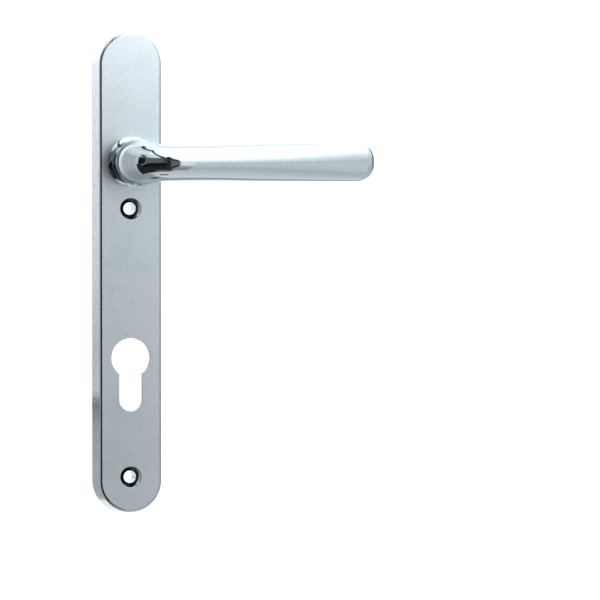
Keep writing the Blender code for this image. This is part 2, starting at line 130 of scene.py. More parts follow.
# Cloudy patches and shallow ripples of a die casting under its plating.
def makeCastMottle():
    tree, given, result = newGroup(
        "castMottle",
        [("Size", numberIn, 0.004), ("Contrast", numberIn, 0.5)],
        [("Height", numberIn), ("Mask", numberIn)])
    where = place(tree, "TexCoord").outputs["Object"]
    perCloud = arithmetic(tree, "DIVIDE", 1.0, given.outputs["Size"])
    warp = place(tree, "TexNoise", {"Detail": 2.0})
    join(tree, where, warp.inputs["Vector"])
    join(tree, perCloud, warp.inputs["Scale"])
    shift = place(tree, "VectorMath", operation="SCALE")
    join(tree, warp.outputs["Color"], shift.inputs[0])
    join(tree, given.outputs["Size"], shift.inputs["Scale"])
    moved = place(tree, "VectorMath", operation="ADD")
    join(tree, where, moved.inputs[0])
    join(tree, shift.outputs[0], moved.inputs[1])
    cloud = place(tree, "TexNoise", {"Detail": 5.0, "Roughness": 0.62})
    join(tree, moved.outputs[0], cloud.inputs["Vector"])
    join(tree, perCloud, cloud.inputs["Scale"])
    low = arithmetic(tree, "MULTIPLY_ADD", given.outputs["Contrast"], -0.25, 0.42)
    high = arithmetic(tree, "MULTIPLY_ADD", given.outputs["Contrast"], 0.25, 0.42)
    spread = place(tree, "MapRange", interpolation_type="SMOOTHSTEP")
    join(tree, cloud.outputs["Fac"], spread.inputs["Value"])
    join(tree, low, spread.inputs["From Min"])
    join(tree, high, spread.inputs["From Max"])
    join(tree, cloud.outputs["Fac"], result.inputs["Height"])
    join(tree, spread.outputs["Result"], result.inputs["Mask"])
    return tree


# Smears from fingers and a few hairline scratches.
def makeHandMarks():
    tree, given, result = newGroup(
        "handMarks",
        [("Smear", numberIn, 0.02), ("Scratch", numberIn, 0.006)],
        [("Smears", numberIn), ("Scratches", numberIn)])
    where = place(tree, "TexCoord").outputs["Object"]
    perSmear = arithmetic(tree, "DIVIDE", 1.0, given.outputs["Smear"])
    perScratch = arithmetic(tree, "DIVIDE", 1.0, given.outputs["Scratch"])
    smear = place(tree, "TexNoise", {"Detail": 6.0, "Roughness": 0.7, "Distortion": 0.6})
    join(tree, where, smear.inputs["Vector"])
    join(tree, perSmear, smear.inputs["Scale"])
    smears = place(tree, "MapRange", {"From Min": 0.45, "From Max": 0.75})
    join(tree, smear.outputs["Fac"], smears.inputs["Value"])
    join(tree, smears.outputs["Result"], result.inputs["Smears"])
    lines = []
    for turn in ((0.3, 0.9, 0.5), (1.1, 0.2, 1.9)):
        spun = place(tree, "Mapping", {"Rotation": turn, "Scale": (0.09, 1.0, 1.0)})
        join(tree, where, spun.inputs["Vector"])
        hair = place(tree, "TexNoise", {"Detail": 1.0, "Roughness": 0.4})
        join(tree, spun.outputs["Vector"], hair.inputs["Vector"])
        join(tree, perScratch, hair.inputs["Scale"])
        near = arithmetic(tree, "SUBTRACT", hair.outputs["Fac"], 0.5)
        thin = place(tree, "MapRange", {"From Min": 0.0, "From Max": 0.004,
                                        "To Min": 1.0, "To Max": 0.0})
        join(tree, arithmetic(tree, "ABSOLUTE", near), thin.inputs["Value"])
        lines.append(thin.outputs["Result"])
    both = arithmetic(tree, "MAXIMUM", lines[0], lines[1])
    join(tree, arithmetic(tree, "MULTIPLY", both, smears.outputs["Result"]),
         result.inputs["Scratches"])
    return tree


# A mask that rises where the surface turns round an edge.
def makeBuffedEdges():
    tree, given, result = newGroup(
        "buffedEdges",
        [("Width", numberIn, 0.0005), ("Break", numberIn, 0.002)],
        [("Mask", numberIn)])
    rounded = place(tree, "Bevel", samples=4)
    join(tree, given.outputs["Width"], rounded.inputs["Radius"])
    plain = place(tree, "NewGeometry").outputs["Normal"]
    match = place(tree, "VectorMath", operation="DOT_PRODUCT")
    join(tree, rounded.outputs["Normal"], match.inputs[0])
    join(tree, plain, match.inputs[1])
    edge = place(tree, "MapRange", {"From Min": 1.0, "From Max": 0.86})
    join(tree, match.outputs["Value"], edge.inputs["Value"])
    broken = place(tree, "TexNoise", {"Detail": 4.0})
    join(tree, place(tree, "TexCoord").outputs["Object"], broken.inputs["Vector"])
    join(tree, arithmetic(tree, "DIVIDE", 1.0, given.outputs["Break"]),
         broken.inputs["Scale"])
    uneven = arithmetic(tree, "MULTIPLY_ADD", broken.outputs["Fac"], 1.2, 0.1)
    join(tree, arithmetic(tree, "MULTIPLY", edge.outputs["Result"], uneven, clamp=True),
         result.inputs["Mask"])
    return tree


# Rings left by a lathe tool, round a line that runs out of the door.
def makeTurningRings():
    tree, given, result = newGroup(
        "turningRings",
        [("Centre", vectorIn, (0, 0, 0)), ("Pitch", numberIn, 0.0002)],
        [("Height", numberIn)])
    where = place(tree, "TexCoord").outputs["Object"]
    offset = place(tree, "VectorMath", operation="SUBTRACT")
    join(tree, where, offset.inputs[0])
    join(tree, given.outputs["Centre"], offset.inputs[1])
    flat = place(tree, "VectorMath", operation="MULTIPLY")
    join(tree, offset.outputs[0], flat.inputs[0])
    flat.inputs[1].default_value = (1, 0, 1)
    radius = place(tree, "VectorMath", operation="LENGTH")
    join(tree, flat.outputs[0], radius.inputs[0])
    steps = arithmetic(tree, "DIVIDE", radius.outputs["Value"], given.outputs["Pitch"])
    ring = place(tree, "TexNoise", {"Scale": 1.0, "Detail": 3.0}, noise_dimensions="1D")
    join(tree, steps, ring.inputs["W"])
    join(tree, ring.outputs["Fac"], result.inputs["Height"])
    return tree


# Lines drawn along one direction: bar stock, wire and rolled sheet.
def makeDrawnLines():
    tree, given, result = newGroup(
        "drawnLines",
        [("Along", vectorIn, (1, 0.02, 1)), ("Pitch", numberIn, 0.0003)],
        [("Height", numberIn), ("Mask", numberIn)])
    where = place(tree, "TexCoord").outputs["Object"]
    stretched = place(tree, "VectorMath", operation="MULTIPLY")
    join(tree, where, stretched.inputs[0])
    join(tree, given.outputs["Along"], stretched.inputs[1])
    scale = arithmetic(tree, "DIVIDE", 1.0, given.outputs["Pitch"])
    line = place(tree, "TexNoise", {"Detail": 3.0, "Roughness": 0.65})
    join(tree, stretched.outputs[0], line.inputs["Vector"])
    join(tree, scale, line.inputs["Scale"])
    join(tree, line.outputs["Fac"], result.inputs["Height"])
    soft = place(tree, "TexNoise", {"Scale": 180.0, "Detail": 4.0})
    join(tree, where, soft.inputs["Vector"])
    join(tree, soft.outputs["Fac"], result.inputs["Mask"])
    return tree


# Faint dust that lies on faces turned upwards.
def makeDustFilm():
    tree, given, result = newGroup(
        "dustFilm",
        [("Amount", numberIn, 0.2), ("Size", numberIn, 0.0008)],
        [("Mask", numberIn)])
    facing = place(tree, "SeparateXYZ")
    join(tree, place(tree, "NewGeometry").outputs["Normal"], facing.inputs[0])
    upward = place(tree, "MapRange", {"From Min": 0.1, "From Max": 1.0})
    join(tree, facing.outputs["Z"], upward.inputs["Value"])
    speck = place(tree, "TexNoise", {"Detail": 6.0, "Roughness": 0.75})
    join(tree, place(tree, "TexCoord").outputs["Object"], speck.inputs["Vector"])
    join(tree, arithmetic(tree, "DIVIDE", 1.0, given.outputs["Size"]), speck.inputs["Scale"])
    grit = place(tree, "MapRange", {"From Min": 0.45, "From Max": 0.8})
    join(tree, speck.outputs["Fac"], grit.inputs["Value"])
    lying = arithmetic(tree, "MULTIPLY", upward.outputs["Result"], grit.outputs["Result"])
    join(tree, arithmetic(tree, "MULTIPLY", lying, given.outputs["Amount"], clamp=True),
         result.inputs["Mask"])
    return tree


fineGrain = makeFineGrain()
castMottle = makeCastMottle()
handMarks = makeHandMarks()
buffedEdges = makeBuffedEdges()
turningRings = makeTurningRings()
drawnLines = makeDrawnLines()
dustFilm = makeDustFilm()
print("node groups made")


# Parts of a material that several finishes share.
def newFinish(name):
    material = bpy.data.materials.new(name)
    material.use_nodes = True
    tree = material.node_tree
    return material, tree, tree.nodes["Principled BSDF"]


def blendColour(tree, mask, low, high):
    made = place(tree, "Mix", data_type="RGBA", blend_type="MIX")
    for i, value in ((6, low), (7, high)):
        if isinstance(value, tuple):
            made.inputs[i].default_value = (*value, 1)
        else:
            join(tree, value, made.inputs[i])
    join(tree, mask, made.inputs[0])
    return made.outputs[2]


def between(tree, mask, low, high):
    made = place(tree, "MapRange", {"To Min": low, "To Max": high})
    join(tree, mask, made.inputs["Value"])
    return made.outputs["Result"]


def addBump(tree, height, depth, below=None):
    made = place(tree, "Bump", {"Strength": 1.0, "Distance": depth})
    join(tree, height, made.inputs["Height"])
    if below:
        join(tree, below, made.inputs["Normal"])
    return made.outputs["Normal"]


satinFinish = {
    "pale": (0.752, 0.848, 0.902),
    "deep": (0.638, 0.735, 0.792),
    "metal": 0.88,
    "smooth": 0.25,
    "rough": 0.33,
    "edge": -0.17,             # change in roughness on worn edges
    "cloud": 0.011,            # size of the cloudy patches
    "contrast": 0.55,
    "rippleDepth": 0.000012,
    "grainDepth": 0.0000012,
}

cloudyFinish = {
    "pale": (0.86, 0.925, 0.965),
    "deep": (0.62, 0.69, 0.73),
    "metal": 1.0,
    "smooth": 0.06,
    "rough": 0.11,
    "edge": -0.03,
    "cloud": 0.0035,
    "contrast": 0.5,
    "rippleDepth": 0.000060,
    "grainDepth": 0.0000012,
}


def makeSatinChrome(name, finish):
    material, tree, shader = newFinish(name)
    shader.inputs["Metallic"].default_value = finish["metal"]
    grain = useGroup(tree, fineGrain, {"Size": 0.00016, "Drift": 0.014})
    mottle = useGroup(tree, castMottle, {"Size": finish["cloud"],
                                            "Contrast": finish["contrast"]})
    marks = useGroup(tree, handMarks, {"Smear": 0.03, "Scratch": 0.004})
    edges = useGroup(tree, buffedEdges, {"Width": 0.0004, "Break": 0.0015})
    speck = useGroup(tree, fineGrain, {"Size": 0.0008, "Drift": 0.02})
    lifted = arithmetic(tree, "MULTIPLY_ADD", speck.outputs["Height"], 2.2, -0.85)
    mixed = arithmetic(tree, "MULTIPLY_ADD", mottle.outputs["Mask"], 0.5, lifted)
    tone = blendColour(tree, mixed, finish["deep"], finish["pale"])
    join(tree, tone, shader.inputs["Base Color"])
    spread = between(tree, grain.outputs["Mask"], finish["smooth"], finish["rough"])
    worn = arithmetic(tree, "MULTIPLY_ADD", edges.outputs["Mask"], finish["edge"], spread)
    smeared = arithmetic(tree, "MULTIPLY_ADD", marks.outputs["Smears"], 0.03, worn)
    join(tree, smeared, shader.inputs["Roughness"])
    ripple = addBump(tree, mottle.outputs["Height"], finish["rippleDepth"])
    fine = addBump(tree, grain.outputs["Height"], finish["grainDepth"], ripple)
    scored = addBump(tree, marks.outputs["Scratches"], -0.0000008, fine)
    join(tree, scored, shader.inputs["Normal"])
    return material


polishFinish = {
    "pale": (0.680, 0.775, 0.825),
    "deep": (0.605, 0.697, 0.746),
    "smooth": 0.045,
    "rough": 0.085,
    "turned": False,
}

collarFinish = {
    "pale": (0.665, 0.745, 0.785),
    "deep": (0.61, 0.69, 0.73),
    "smooth": 0.035,
    "rough": 0.07,
    "turned": True,
}

# Chrome for the plate's rounded front edge: its low roughness is a polished edge, its darker
# colour is painted shade for the dark line along the edge.
edgeShadeFinish = {
    "pale": (0.56, 0.62, 0.66),
    "deep": (0.48, 0.54, 0.58),
    "smooth": 0.05,
    "rough": 0.09,
    "turned": False,
}

# Darker chrome for the countersunk faces: painted shade standing in for the dark their recess
# shows.
sunkShadeFinish = {
    "pale": (0.56, 0.61, 0.64),
    "deep": (0.38, 0.42, 0.45),
    "smooth": 0.08,
    "rough": 0.15,
    "turned": False,
}


def makePolishedChrome(name, finish):
    material, tree, shader = newFinish(name)
    shader.inputs["Metallic"].default_value = 1.0
    grain = useGroup(tree, fineGrain, {"Size": 0.0009, "Drift": 0.02})
    marks = useGroup(tree, handMarks, {"Smear": 0.016, "Scratch": 0.005})
    lifted = arithmetic(tree, "MULTIPLY_ADD", grain.outputs["Height"], 2.6, -0.8)
    tone = blendColour(tree, lifted, finish["deep"], finish["pale"])
    join(tree, tone, shader.inputs["Base Color"])
    spread = between(tree, marks.outputs["Smears"], finish["smooth"], finish["rough"])
    join(tree, arithmetic(tree, "MULTIPLY_ADD", marks.outputs["Scratches"], 0.05, spread),
         shader.inputs["Roughness"])
    peel = addBump(tree, grain.outputs["Height"], 0.0000016)
    if finish["turned"]:
        lathe = useGroup(tree, turningRings, {"Pitch": 0.00022})
        peel = addBump(tree, lathe.outputs["Height"], 0.0000012, peel)
    join(tree, addBump(tree, marks.outputs["Scratches"], -0.0000005, peel),
         shader.inputs["Normal"])
    return material


castingFinish = {"pale": (0.46, 0.465, 0.47), "deep": (0.30, 0.305, 0.315)}


def makeRawCasting():
    material, tree, shader = newFinish("rawCasting")
    shader.inputs["Metallic"].default_value = 1.0
    grain = useGroup(tree, fineGrain, {"Size": 0.0003, "Drift": 0.006})
    mottle = useGroup(tree, castMottle, {"Size": 0.005, "Contrast": 0.8})
    dust = useGroup(tree, dustFilm, {"Amount": 0.35, "Size": 0.0006})
    tone = blendColour(tree, mottle.outputs["Mask"], castingFinish["deep"],
                       castingFinish["pale"])
    dusty = blendColour(tree, dust.outputs["Mask"], tone, (0.42, 0.41, 0.39))
    join(tree, dusty, shader.inputs["Base Color"])
    join(tree, between(tree, grain.outputs["Mask"], 0.38, 0.6), shader.inputs["Roughness"])
    ripple = addBump(tree, mottle.outputs["Height"], 0.00012)
    join(tree, addBump(tree, grain.outputs["Height"], 0.00003, ripple),
         shader.inputs["Normal"])
    return material


def makeWhiteNylon():
    material, tree, shader = newFinish("whiteNylon")
    shader.inputs["IOR"].default_value = 1.53
    shader.inputs["Subsurface Weight"].default_value = 0.15
    shader.inputs["Subsurface Scale"].default_value = 0.001
    grain = useGroup(tree, fineGrain, {"Size": 0.0002, "Drift": 0.004})
    rings = useGroup(tree, turningRings, {"Pitch": 0.0003})
    tone = blendColour(tree, grain.outputs["Mask"], (0.74, 0.73, 0.68), (0.84, 0.83, 0.79))
    join(tree, tone, shader.inputs["Base Color"])
    join(tree, between(tree, grain.outputs["Height"], 0.38, 0.55),
         shader.inputs["Roughness"])
    soft = addBump(tree, rings.outputs["Height"], 0.000012)
    join(tree, addBump(tree, grain.outputs["Height"], 0.000006, soft),
         shader.inputs["Normal"])
    return material


zincFinish = {
    "cold": (0.52, 0.54, 0.57),
    "warm": (0.60, 0.585, 0.54),
    "stain": (0.36, 0.36, 0.37),
}


def makeZincSteel(name, along, pitch):
    material, tree, shader = newFinish(name)
    shader.inputs["Metallic"].default_value = 1.0
    lines = useGroup(tree, drawnLines, {"Along": along, "Pitch": pitch})
    mottle = useGroup(tree, castMottle, {"Size": 0.006, "Contrast": 0.7})
    edges = useGroup(tree, buffedEdges, {"Width": 0.0003, "Break": 0.0012})
    tone = blendColour(tree, lines.outputs["Mask"], zincFinish["cold"], zincFinish["warm"])
    stained = blendColour(tree, arithmetic(tree, "MULTIPLY", mottle.outputs["Mask"], 0.35),
                          tone, zincFinish["stain"])
    bare = blendColour(tree, edges.outputs["Mask"], stained, (0.70, 0.70, 0.71))
    join(tree, bare, shader.inputs["Base Color"])
    spread = between(tree, mottle.outputs["Height"], 0.24, 0.46)
    join(tree, arithmetic(tree, "MULTIPLY_ADD", edges.outputs["Mask"], -0.08, spread),
         shader.inputs["Roughness"])
    drawn = addBump(tree, lines.outputs["Height"], 0.00001)
    join(tree, addBump(tree, mottle.outputs["Height"], 0.00001, drawn),
         shader.inputs["Normal"])
    return material


springFinish = {"pale": (0.34, 0.34, 0.35), "deep": (0.20, 0.20, 0.215), "rough": 0.30}
blackFinish = {"pale": (0.055, 0.055, 0.06), "deep": (0.025, 0.025, 0.028), "rough": 0.38}
groundFinish = {"pale": (0.62, 0.62, 0.63), "deep": (0.50, 0.50, 0.515), "rough": 0.22}
screwFinish = {"pale": (0.58, 0.59, 0.60), "deep": (0.44, 0.45, 0.47), "rough": 0.30}


def makeTurnedSteel(name, finish, centre=(0, 0, 0), pitch=0.00018):
    material, tree, shader = newFinish(name)
    shader.inputs["Metallic"].default_value = 1.0
    rings = useGroup(tree, turningRings, {"Centre": centre, "Pitch": pitch})
    grain = useGroup(tree, fineGrain, {"Size": 0.0003, "Drift": 0.003})
    edges = useGroup(tree, buffedEdges, {"Width": 0.0002, "Break": 0.0008})
    tone = blendColour(tree, grain.outputs["Mask"], finish["deep"], finish["pale"])
    bare = blendColour(tree, arithmetic(tree, "MULTIPLY", edges.outputs["Mask"], 0.4),
                       tone, (0.62, 0.62, 0.63))
    join(tree, bare, shader.inputs["Base Color"])
    rough = finish["rough"]
    join(tree, between(tree, grain.outputs["Mask"], rough * 0.8, rough * 1.25),
         shader.inputs["Roughness"])
    turned = addBump(tree, rings.outputs["Height"], 0.000006)
    join(tree, addBump(tree, grain.outputs["Height"], 0.000004, turned),
         shader.inputs["Normal"])
    return material


satinChrome = makeSatinChrome("satinChrome", satinFinish)
cloudyChrome = makeSatinChrome("cloudyChrome", cloudyFinish)
polishedChrome = makePolishedChrome("polishedChrome", polishFinish)
collarChrome = makePolishedChrome("collarChrome", collarFinish)
edgeShadeChrome = makePolishedChrome("edgeShadeChrome", edgeShadeFinish)
sunkShadeChrome = makePolishedChrome("sunkShadeChrome", sunkShadeFinish)
rawCasting = makeRawCasting()
whiteNylon = makeWhiteNylon()
zincBar = makeZincSteel("zincBar", (1, 0.02, 1), 0.00035)
zincSheet = makeZincSteel("zincSheet", (1, 1, 0.05), 0.00030)
springSteel = makeTurnedSteel("springSteel", springFinish)
blackSteel = makeTurnedSteel("blackSteel", blackFinish, (0, -0.030, 0))
groundSteel = makeTurnedSteel("groundSteel", groundFinish)
print("finishes made")


# Shapes. Positions are across the door, up it and out of its face.
def spot(across, up, out):
    return Vector((across, -out, up))


def objectFrom(name, bm, material):
    bmesh.ops.recalc_face_normals(bm, faces=bm.faces)
    mesh = bpy.data.meshes.new(name)
    bm.to_mesh(mesh)
    bm.free()
    made = bpy.data.objects.new(name, mesh)
    collection.objects.link(made)
    mesh.materials.append(material)
    return made


def lofted(rings):
    bm = bmesh.new()
    rows = []
    for ring in rings:
        if len(ring) == 1:
            rows.append([bm.verts.new(ring[0])])
        else:
            rows.append([bm.verts.new(point) for point in ring])
    for low, high in zip(rows, rows[1:]):
        count = max(len(low), len(high))
        for i in range(count):
            j = (i + 1) % count
            corners = [low[i % len(low)], low[j % len(low)],
                       high[j % len(high)], high[i % len(high)]]
            bm.faces.new(list(dict.fromkeys(corners)))
    for row in (rows[0], rows[-1]):
        if len(row) > 1:
            bm.faces.new(row)
    return bm


# A closed outline of (radius, out) swept round; one that starts on the axis ends on it.
def turned(profile, around=96, centre=(0, 0)):
    bm = bmesh.new()
    rows = []
    for radius, out in profile:
        if radius < 1e-7:
            rows.append([bm.verts.new(spot(*centre, out))] * around)
            continue
        row = []
        for i in range(around):
            a = 2 * pi * i / around
            row.append(bm.verts.new(spot(centre[0] + radius * cos(a),
                                         centre[1] + radius * sin(a), out)))
        rows.append(row)
    pairs = list(zip(rows, rows[1:]))
    if profile[0][0] > 1e-7:
        pairs.append((rows[-1], rows[0]))
    for low, high in pairs:
        for i in range(around):
            j = (i + 1) % around
            corners = list(dict.fromkeys([low[i], low[j], high[j], high[i]]))
            if len(corners) > 2:
                bm.faces.new(corners)
    return bm


# Rounds each real corner of a flat outline by about the given radius.
def softened(points, radius, steps=4, closed=True):
    rounded = []
    count = len(points)
    for i, point in enumerate(points):
        here = Vector(point)
        before = Vector(points[i - 1]) - here
        after = Vector(points[(i + 1) % count]) - here
        end = not closed and i in (0, count - 1)
        if end or before.normalized().dot(after.normalized()) < -0.97:
            rounded.append(tuple(here))
            continue
        reach = min(radius, 0.48 * before.length, 0.48 * after.length)
        start = here + before.normalized() * reach
        stop = here + after.normalized() * reach
        for step in range(steps + 1):
            t = step / steps
            bent = start * (1 - t) ** 2 + here * (2 * t * (1 - t)) + stop * t ** 2
            rounded.append(tuple(bent))
    return rounded


def asinDegrees(value):
    return asin(value) * 180 / pi


def circle(x, y, radius, count):
    return [(x + radius * cos(2 * pi * k / count), y + radius * sin(2 * pi * k / count))
            for k in range(count)]


def arc(cx, cy, radius, start, end, count):
    turn = [radians(start + (end - start) * i / count) for i in range(count + 1)]
    return [(cx + radius * cos(a), cy + radius * sin(a)) for a in turn]


# Moves a closed anticlockwise outline inwards.
def drawnIn(points, amount):
    moved = []
    count = len(points)
    for i in range(count):
        here = Vector(points[i])
        before = (here - Vector(points[i - 1])).normalized()
        after = (Vector(points[(i + 1) % count]) - here).normalized()
        inward = Vector((-before.y - after.y, before.x + after.x))
        inward.normalize()
        lean = max(0.4, inward.dot(Vector((-before.y, before.x))))
        moved.append(tuple(here + inward * (amount / lean)))
    return moved


def slab(outline, back, front, edge, steps=3):
    rings = []
    for i in range(steps + 1):
        a = pi / 2 * i / steps
        rings.append((edge * (1 - sin(a)), back + edge * (1 - cos(a))))
    rings += [(inset, front - (out - back)) for inset, out in reversed(rings)]
    return lofted([[spot(x, y, out) for x, y in drawnIn(outline, inset)]
                   for inset, out in rings])


def cutWith(piece, tool, operation="DIFFERENCE"):
    change = piece.modifiers.new(tool.name, "BOOLEAN")
    change.operation = operation
    change.solver = "EXACT"
    change.material_mode = "TRANSFER"
    change.object = tool


# The middle of a node's box, across the door and up it.
def middle(node):
    low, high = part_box(node)
    return (low.x + high.x) / 2, (low.z + high.z) / 2


# Applies a piece's modifiers for good and throws its tools away.
def settle(piece):
    tools = [m.object for m in piece.modifiers if m.type == "BOOLEAN"]
    graph = bpy.context.evaluated_depsgraph_get()
    mesh = bpy.data.meshes.new_from_object(piece.evaluated_get(graph), depsgraph=graph)
    piece.modifiers.clear()
    piece.data = mesh
    for tool in tools:
        bpy.data.objects.remove(tool, do_unlink=True)


def shade(piece, angle=32, weighted=True):
    piece.data.shade_smooth()
    piece.data.set_sharp_from_angle(angle=radians(angle))
    if weighted:
        even = piece.modifiers.new("evenNormals", "WEIGHTED_NORMAL")
        even.keep_sharp = True


def fit(piece, body, slotName, *nodes):
    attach(piece, body)
    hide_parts(*nodes)


# A plain ring that fills its node's box from the bore out.
def makeRing(node, name, bore, edge, material, body, slotName):
    low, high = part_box(node)
    outer = (high.x - low.x) / 2
    piece = objectFrom(name, turned(softened(
        [(outer, -low.y), (outer, -high.y), (bore, -high.y), (bore, -low.y)], edge, 3)),
        material)
    shade(piece)
    fit(piece, body, slotName, node)


plateLow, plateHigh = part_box("backplate")
plate = {
    "width": plateHigh.x - plateLow.x,
    "top": plateHigh.z,
    "bottom": plateLow.z,
    "depth": plateHigh.y - plateLow.y,
    "wall": 0.0020,
    "face": 0.0024,
    "draft": 0.0011,     # each side draws in from back to front
    "edge": 0.0011,      # radius along the front edge
    "rim": 0.0003,       # radius round the back rim
    "lip": 0.00028,      # softened mouths of the holes
    "bore": 0.0057,
    "head": 0.0097,
    "boss": 0.0124,
    "screws": (-0.0213, -0.1433),
    "keyDrop": 0.0890,
    "keyRound": 0.0180,
    "keySlot": 0.0107,
    "keyHeight": 0.0333,
    "collarHole": 0.00985,
    "ribs": (0.0370, -0.0520, -0.1260),
    "ribThick": 0.0016,
    "ribDeep": 0.0036,
    "corner": 0.0006,    # radius inside, where the walls meet the face
    "sunk": 0.0006,      # how far bosses and ribs reach into the face
    "pillar": 0.0023,
    "pillarGap": 0.0003, # between each pillar and the cover
    "thread": 0.0015,
    "threadEnd": 0.0092,
    "pinGap": 0.0002,
    "recess": 0.009,     # how far out the pin holes and the collar's hole begin
}
plate["wallBack"] = plate["depth"] - plate["face"]
plate["straight"] = plate["depth"] - plate["edge"]


def plateOutline(inset, count=56):
    radius = plate["width"] / 2 - inset
    high = plate["top"] - plate["width"] / 2
    low = plate["bottom"] + plate["width"] / 2
    return arc(0, high, radius, 0, 180, count) + arc(0, low, radius, 180, 360, count)


def plateRings():
    rings = []
    rim = plate["rim"]
    edge = plate["edge"]
    straight = plate["straight"]
    for i in range(4):
        a = pi / 2 * i / 3
        rings.append((rim * (1 - sin(a)), rim * (1 - cos(a))))
    rings.append((plate["draft"] * 0.5, straight * 0.5))
    rings.append((plate["draft"], straight))
    for i in range(1, 9):
        a = pi / 2 * i / 8
        rings.append((plate["draft"] + edge * (1 - cos(a)), straight + edge * sin(a)))
    return rings


def makePlateShell():
    rings = [[spot(x, y, out) for x, y in plateOutline(inset)]
             for inset, out in plateRings()]
    body = objectFrom("plateBody", lofted(rings), satinChrome)
    body.data.materials.append(cloudyChrome)
    body.data.materials.append(rawCasting)
    body.data.materials.append(edgeShadeChrome)
    for face in body.data.polygons:
        # The rounded front edge takes the darker edge chrome; its dark colour is painted shade.
        if face.center.y < -plate["straight"] and face.normal.y > -0.998:
            face.material_index = 3
        elif abs(face.normal.y) < 0.6:
            face.material_index = 1
        elif face.normal.y > 0.6:
            face.material_index = 2
    return body


# How far the inside of a wall stands from the plate's outer edge.
def wallInset(out):
    return plate["wall"] + plate["draft"] * out / plate["straight"]


def hollowPlate(body):
    wallBack = plate["wallBack"]
    corner = plate["corner"]
    hollow = [(wallInset(out), out) for out in (-0.001, 0.0001)]
    hollow += [(wallInset(wallBack) + corner * (1 - cos(pi / 2 * i / 4)),
                wallBack - corner + corner * sin(pi / 2 * i / 4)) for i in range(5)]
    tool = objectFrom("hollowTool", lofted(
        [[spot(x, y, out) for x, y in plateOutline(inset)] for inset, out in hollow]),
        rawCasting)
    cutWith(body, tool)


def addPosts(body):
    wallBack = plate["wallBack"]
    foot = wallBack + plate["sunk"]
    radius = plate["boss"] / 2
    for up in plate["screws"]:
        profile = softened([(0, foot), (radius, foot), (radius, wallBack), (radius, 0.0),
                            (0, 0.0)], 0.0003, 3, False)
        cutWith(body, objectFrom("bossTool", turned(profile, 72, (0, up)), rawCasting),
                "UNION")
    radius = plate["pillar"]
    front = -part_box("spring_cover")[0].y + plate["pillarGap"]
    for x, up in coverScrews():
        profile = softened([(0, foot), (radius, foot), (radius, front), (0, front)],
                           0.0002, 3, False)
        cutWith(body, objectFrom("pillarTool", turned(profile, 48, (x, up)), rawCasting),
                "UNION")


def addRibs(body):
    wallBack = plate["wallBack"]
    foot = wallBack + plate["sunk"]
    half = plate["width"] / 2 - plate["wall"] - plate["draft"] / 2
    thick = plate["ribThick"] / 2
    deep = wallBack - plate["ribDeep"]
    profile = softened([(thick, foot), (-thick, foot), (-thick, deep), (thick, deep)],
                       0.0004, 3)
    for up in plate["ribs"]:
        rings = [[spot(across, up + y, out) for y, out in profile]
                 for across in (-half, half)]
        cutWith(body, objectFrom("ribTool", lofted(rings), rawCasting), "UNION")


# How much wider a hole is, and how far down, along its softened mouth from the face in.
def holeMouth():
    lip = plate["lip"]
    return [(lip * (1 - cos(a)), lip * (1 - sin(a)))
            for a in [radians(82 * i / 5) for i in range(5, -1, -1)]]


def cutCountersinks(body):
    front = plate["depth"]
    head = plate["head"] / 2
    bore = plate["bore"] / 2
    cone = (plate["head"] - plate["bore"]) / 2
    profile = [(0, front + 0.001), (head + plate["lip"] * 0.9, front + 0.001)]
    profile += [(head - 0.00012 + grow, front - down) for grow, down in holeMouth()]
    profile += [(bore + 0.00025, front - cone - 0.00005), (bore, front - cone - 0.0004),
                (bore, 0.0004), (bore + 0.0004, -0.0001), (bore + 0.0004, -0.001),
                (0, -0.001)]
    for up in plate["screws"]:
        # The countersunk faces take the darker chrome, painted shade in the recess.
        cutWith(body, objectFrom("sinkTool", turned(profile, 96, (0, up)), sunkShadeChrome))


def drillHole(body, name, centre, radius, start, end, around, material):
    tool = turned([(0, end), (radius, end), (radius, start), (0, start)], around, centre)
    cutWith(body, objectFrom(name, tool, material))


def cutKeyhole(body):
    front = plate["depth"]
    rings = [(-plate["lip"] * 0.9, front + 0.001)]
    rings += [(0.00012 - grow, front - down) for grow, down in holeMouth()]
    rings += [(0, front - 0.0012), (0, plate["wallBack"] - 0.001)]
    tool = lofted([[spot(x, y, out) for x, y in drawnIn(keyOutline(), inset)]
                   for inset, out in rings])
    cutWith(body, objectFrom("keyTool", tool, satinChrome))


def makePlate():
    body = makePlateShell()
    hollowPlate(body)
    addPosts(body)
    addRibs(body)
    cutCountersinks(body)
    for centre in coverScrews():
        drillHole(body, "threadTool", centre, plate["thread"], 0.0, plate["threadEnd"], 32,
                  rawCasting)
    for node in ("anchor_pin", "stop_pin"):
        low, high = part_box(node)
        gap = plate["pinGap"]
        drillHole(body, "pinTool", middle(node), (high.x - low.x) / 2 + gap,
                  plate["recess"], -low.y + gap, 32, rawCasting)
    drillHole(body, "collarTool", (0, 0), plate["collarHole"], plate["recess"],
              plate["depth"] + 0.001, 96, satinChrome)
    cutKeyhole(body)
    settle(body)
    shade(body)
    fit(body, "plate_assembly", "plate_satin_chrome", "backplate")


def keyOutline():
    big = plate["keyRound"] / 2
    slot = plate["keySlot"] / 2
    foot = big - plate["keyDrop"] - plate["keyHeight"] + slot
    meet = 90 - asinDegrees(slot / big)
    return (arc(0, foot, slot, 180, 360, 28)
            + arc(0, -plate["keyDrop"], big, -meet, 180 + meet, 72))


def coverScrews():
    return [middle(f"cover_screw_{i}") for i in range(1, 5)]


makePlate()
print("plate made")


collar = {
    "dome": 0.00475,         # radius of its domed face
    "tilt": (15, 42),        # the dome's slope at its inner and outer edge
    "edge": 0.00018,
    "sleeve": 0.00955,
    "bore": 0.00895,
}


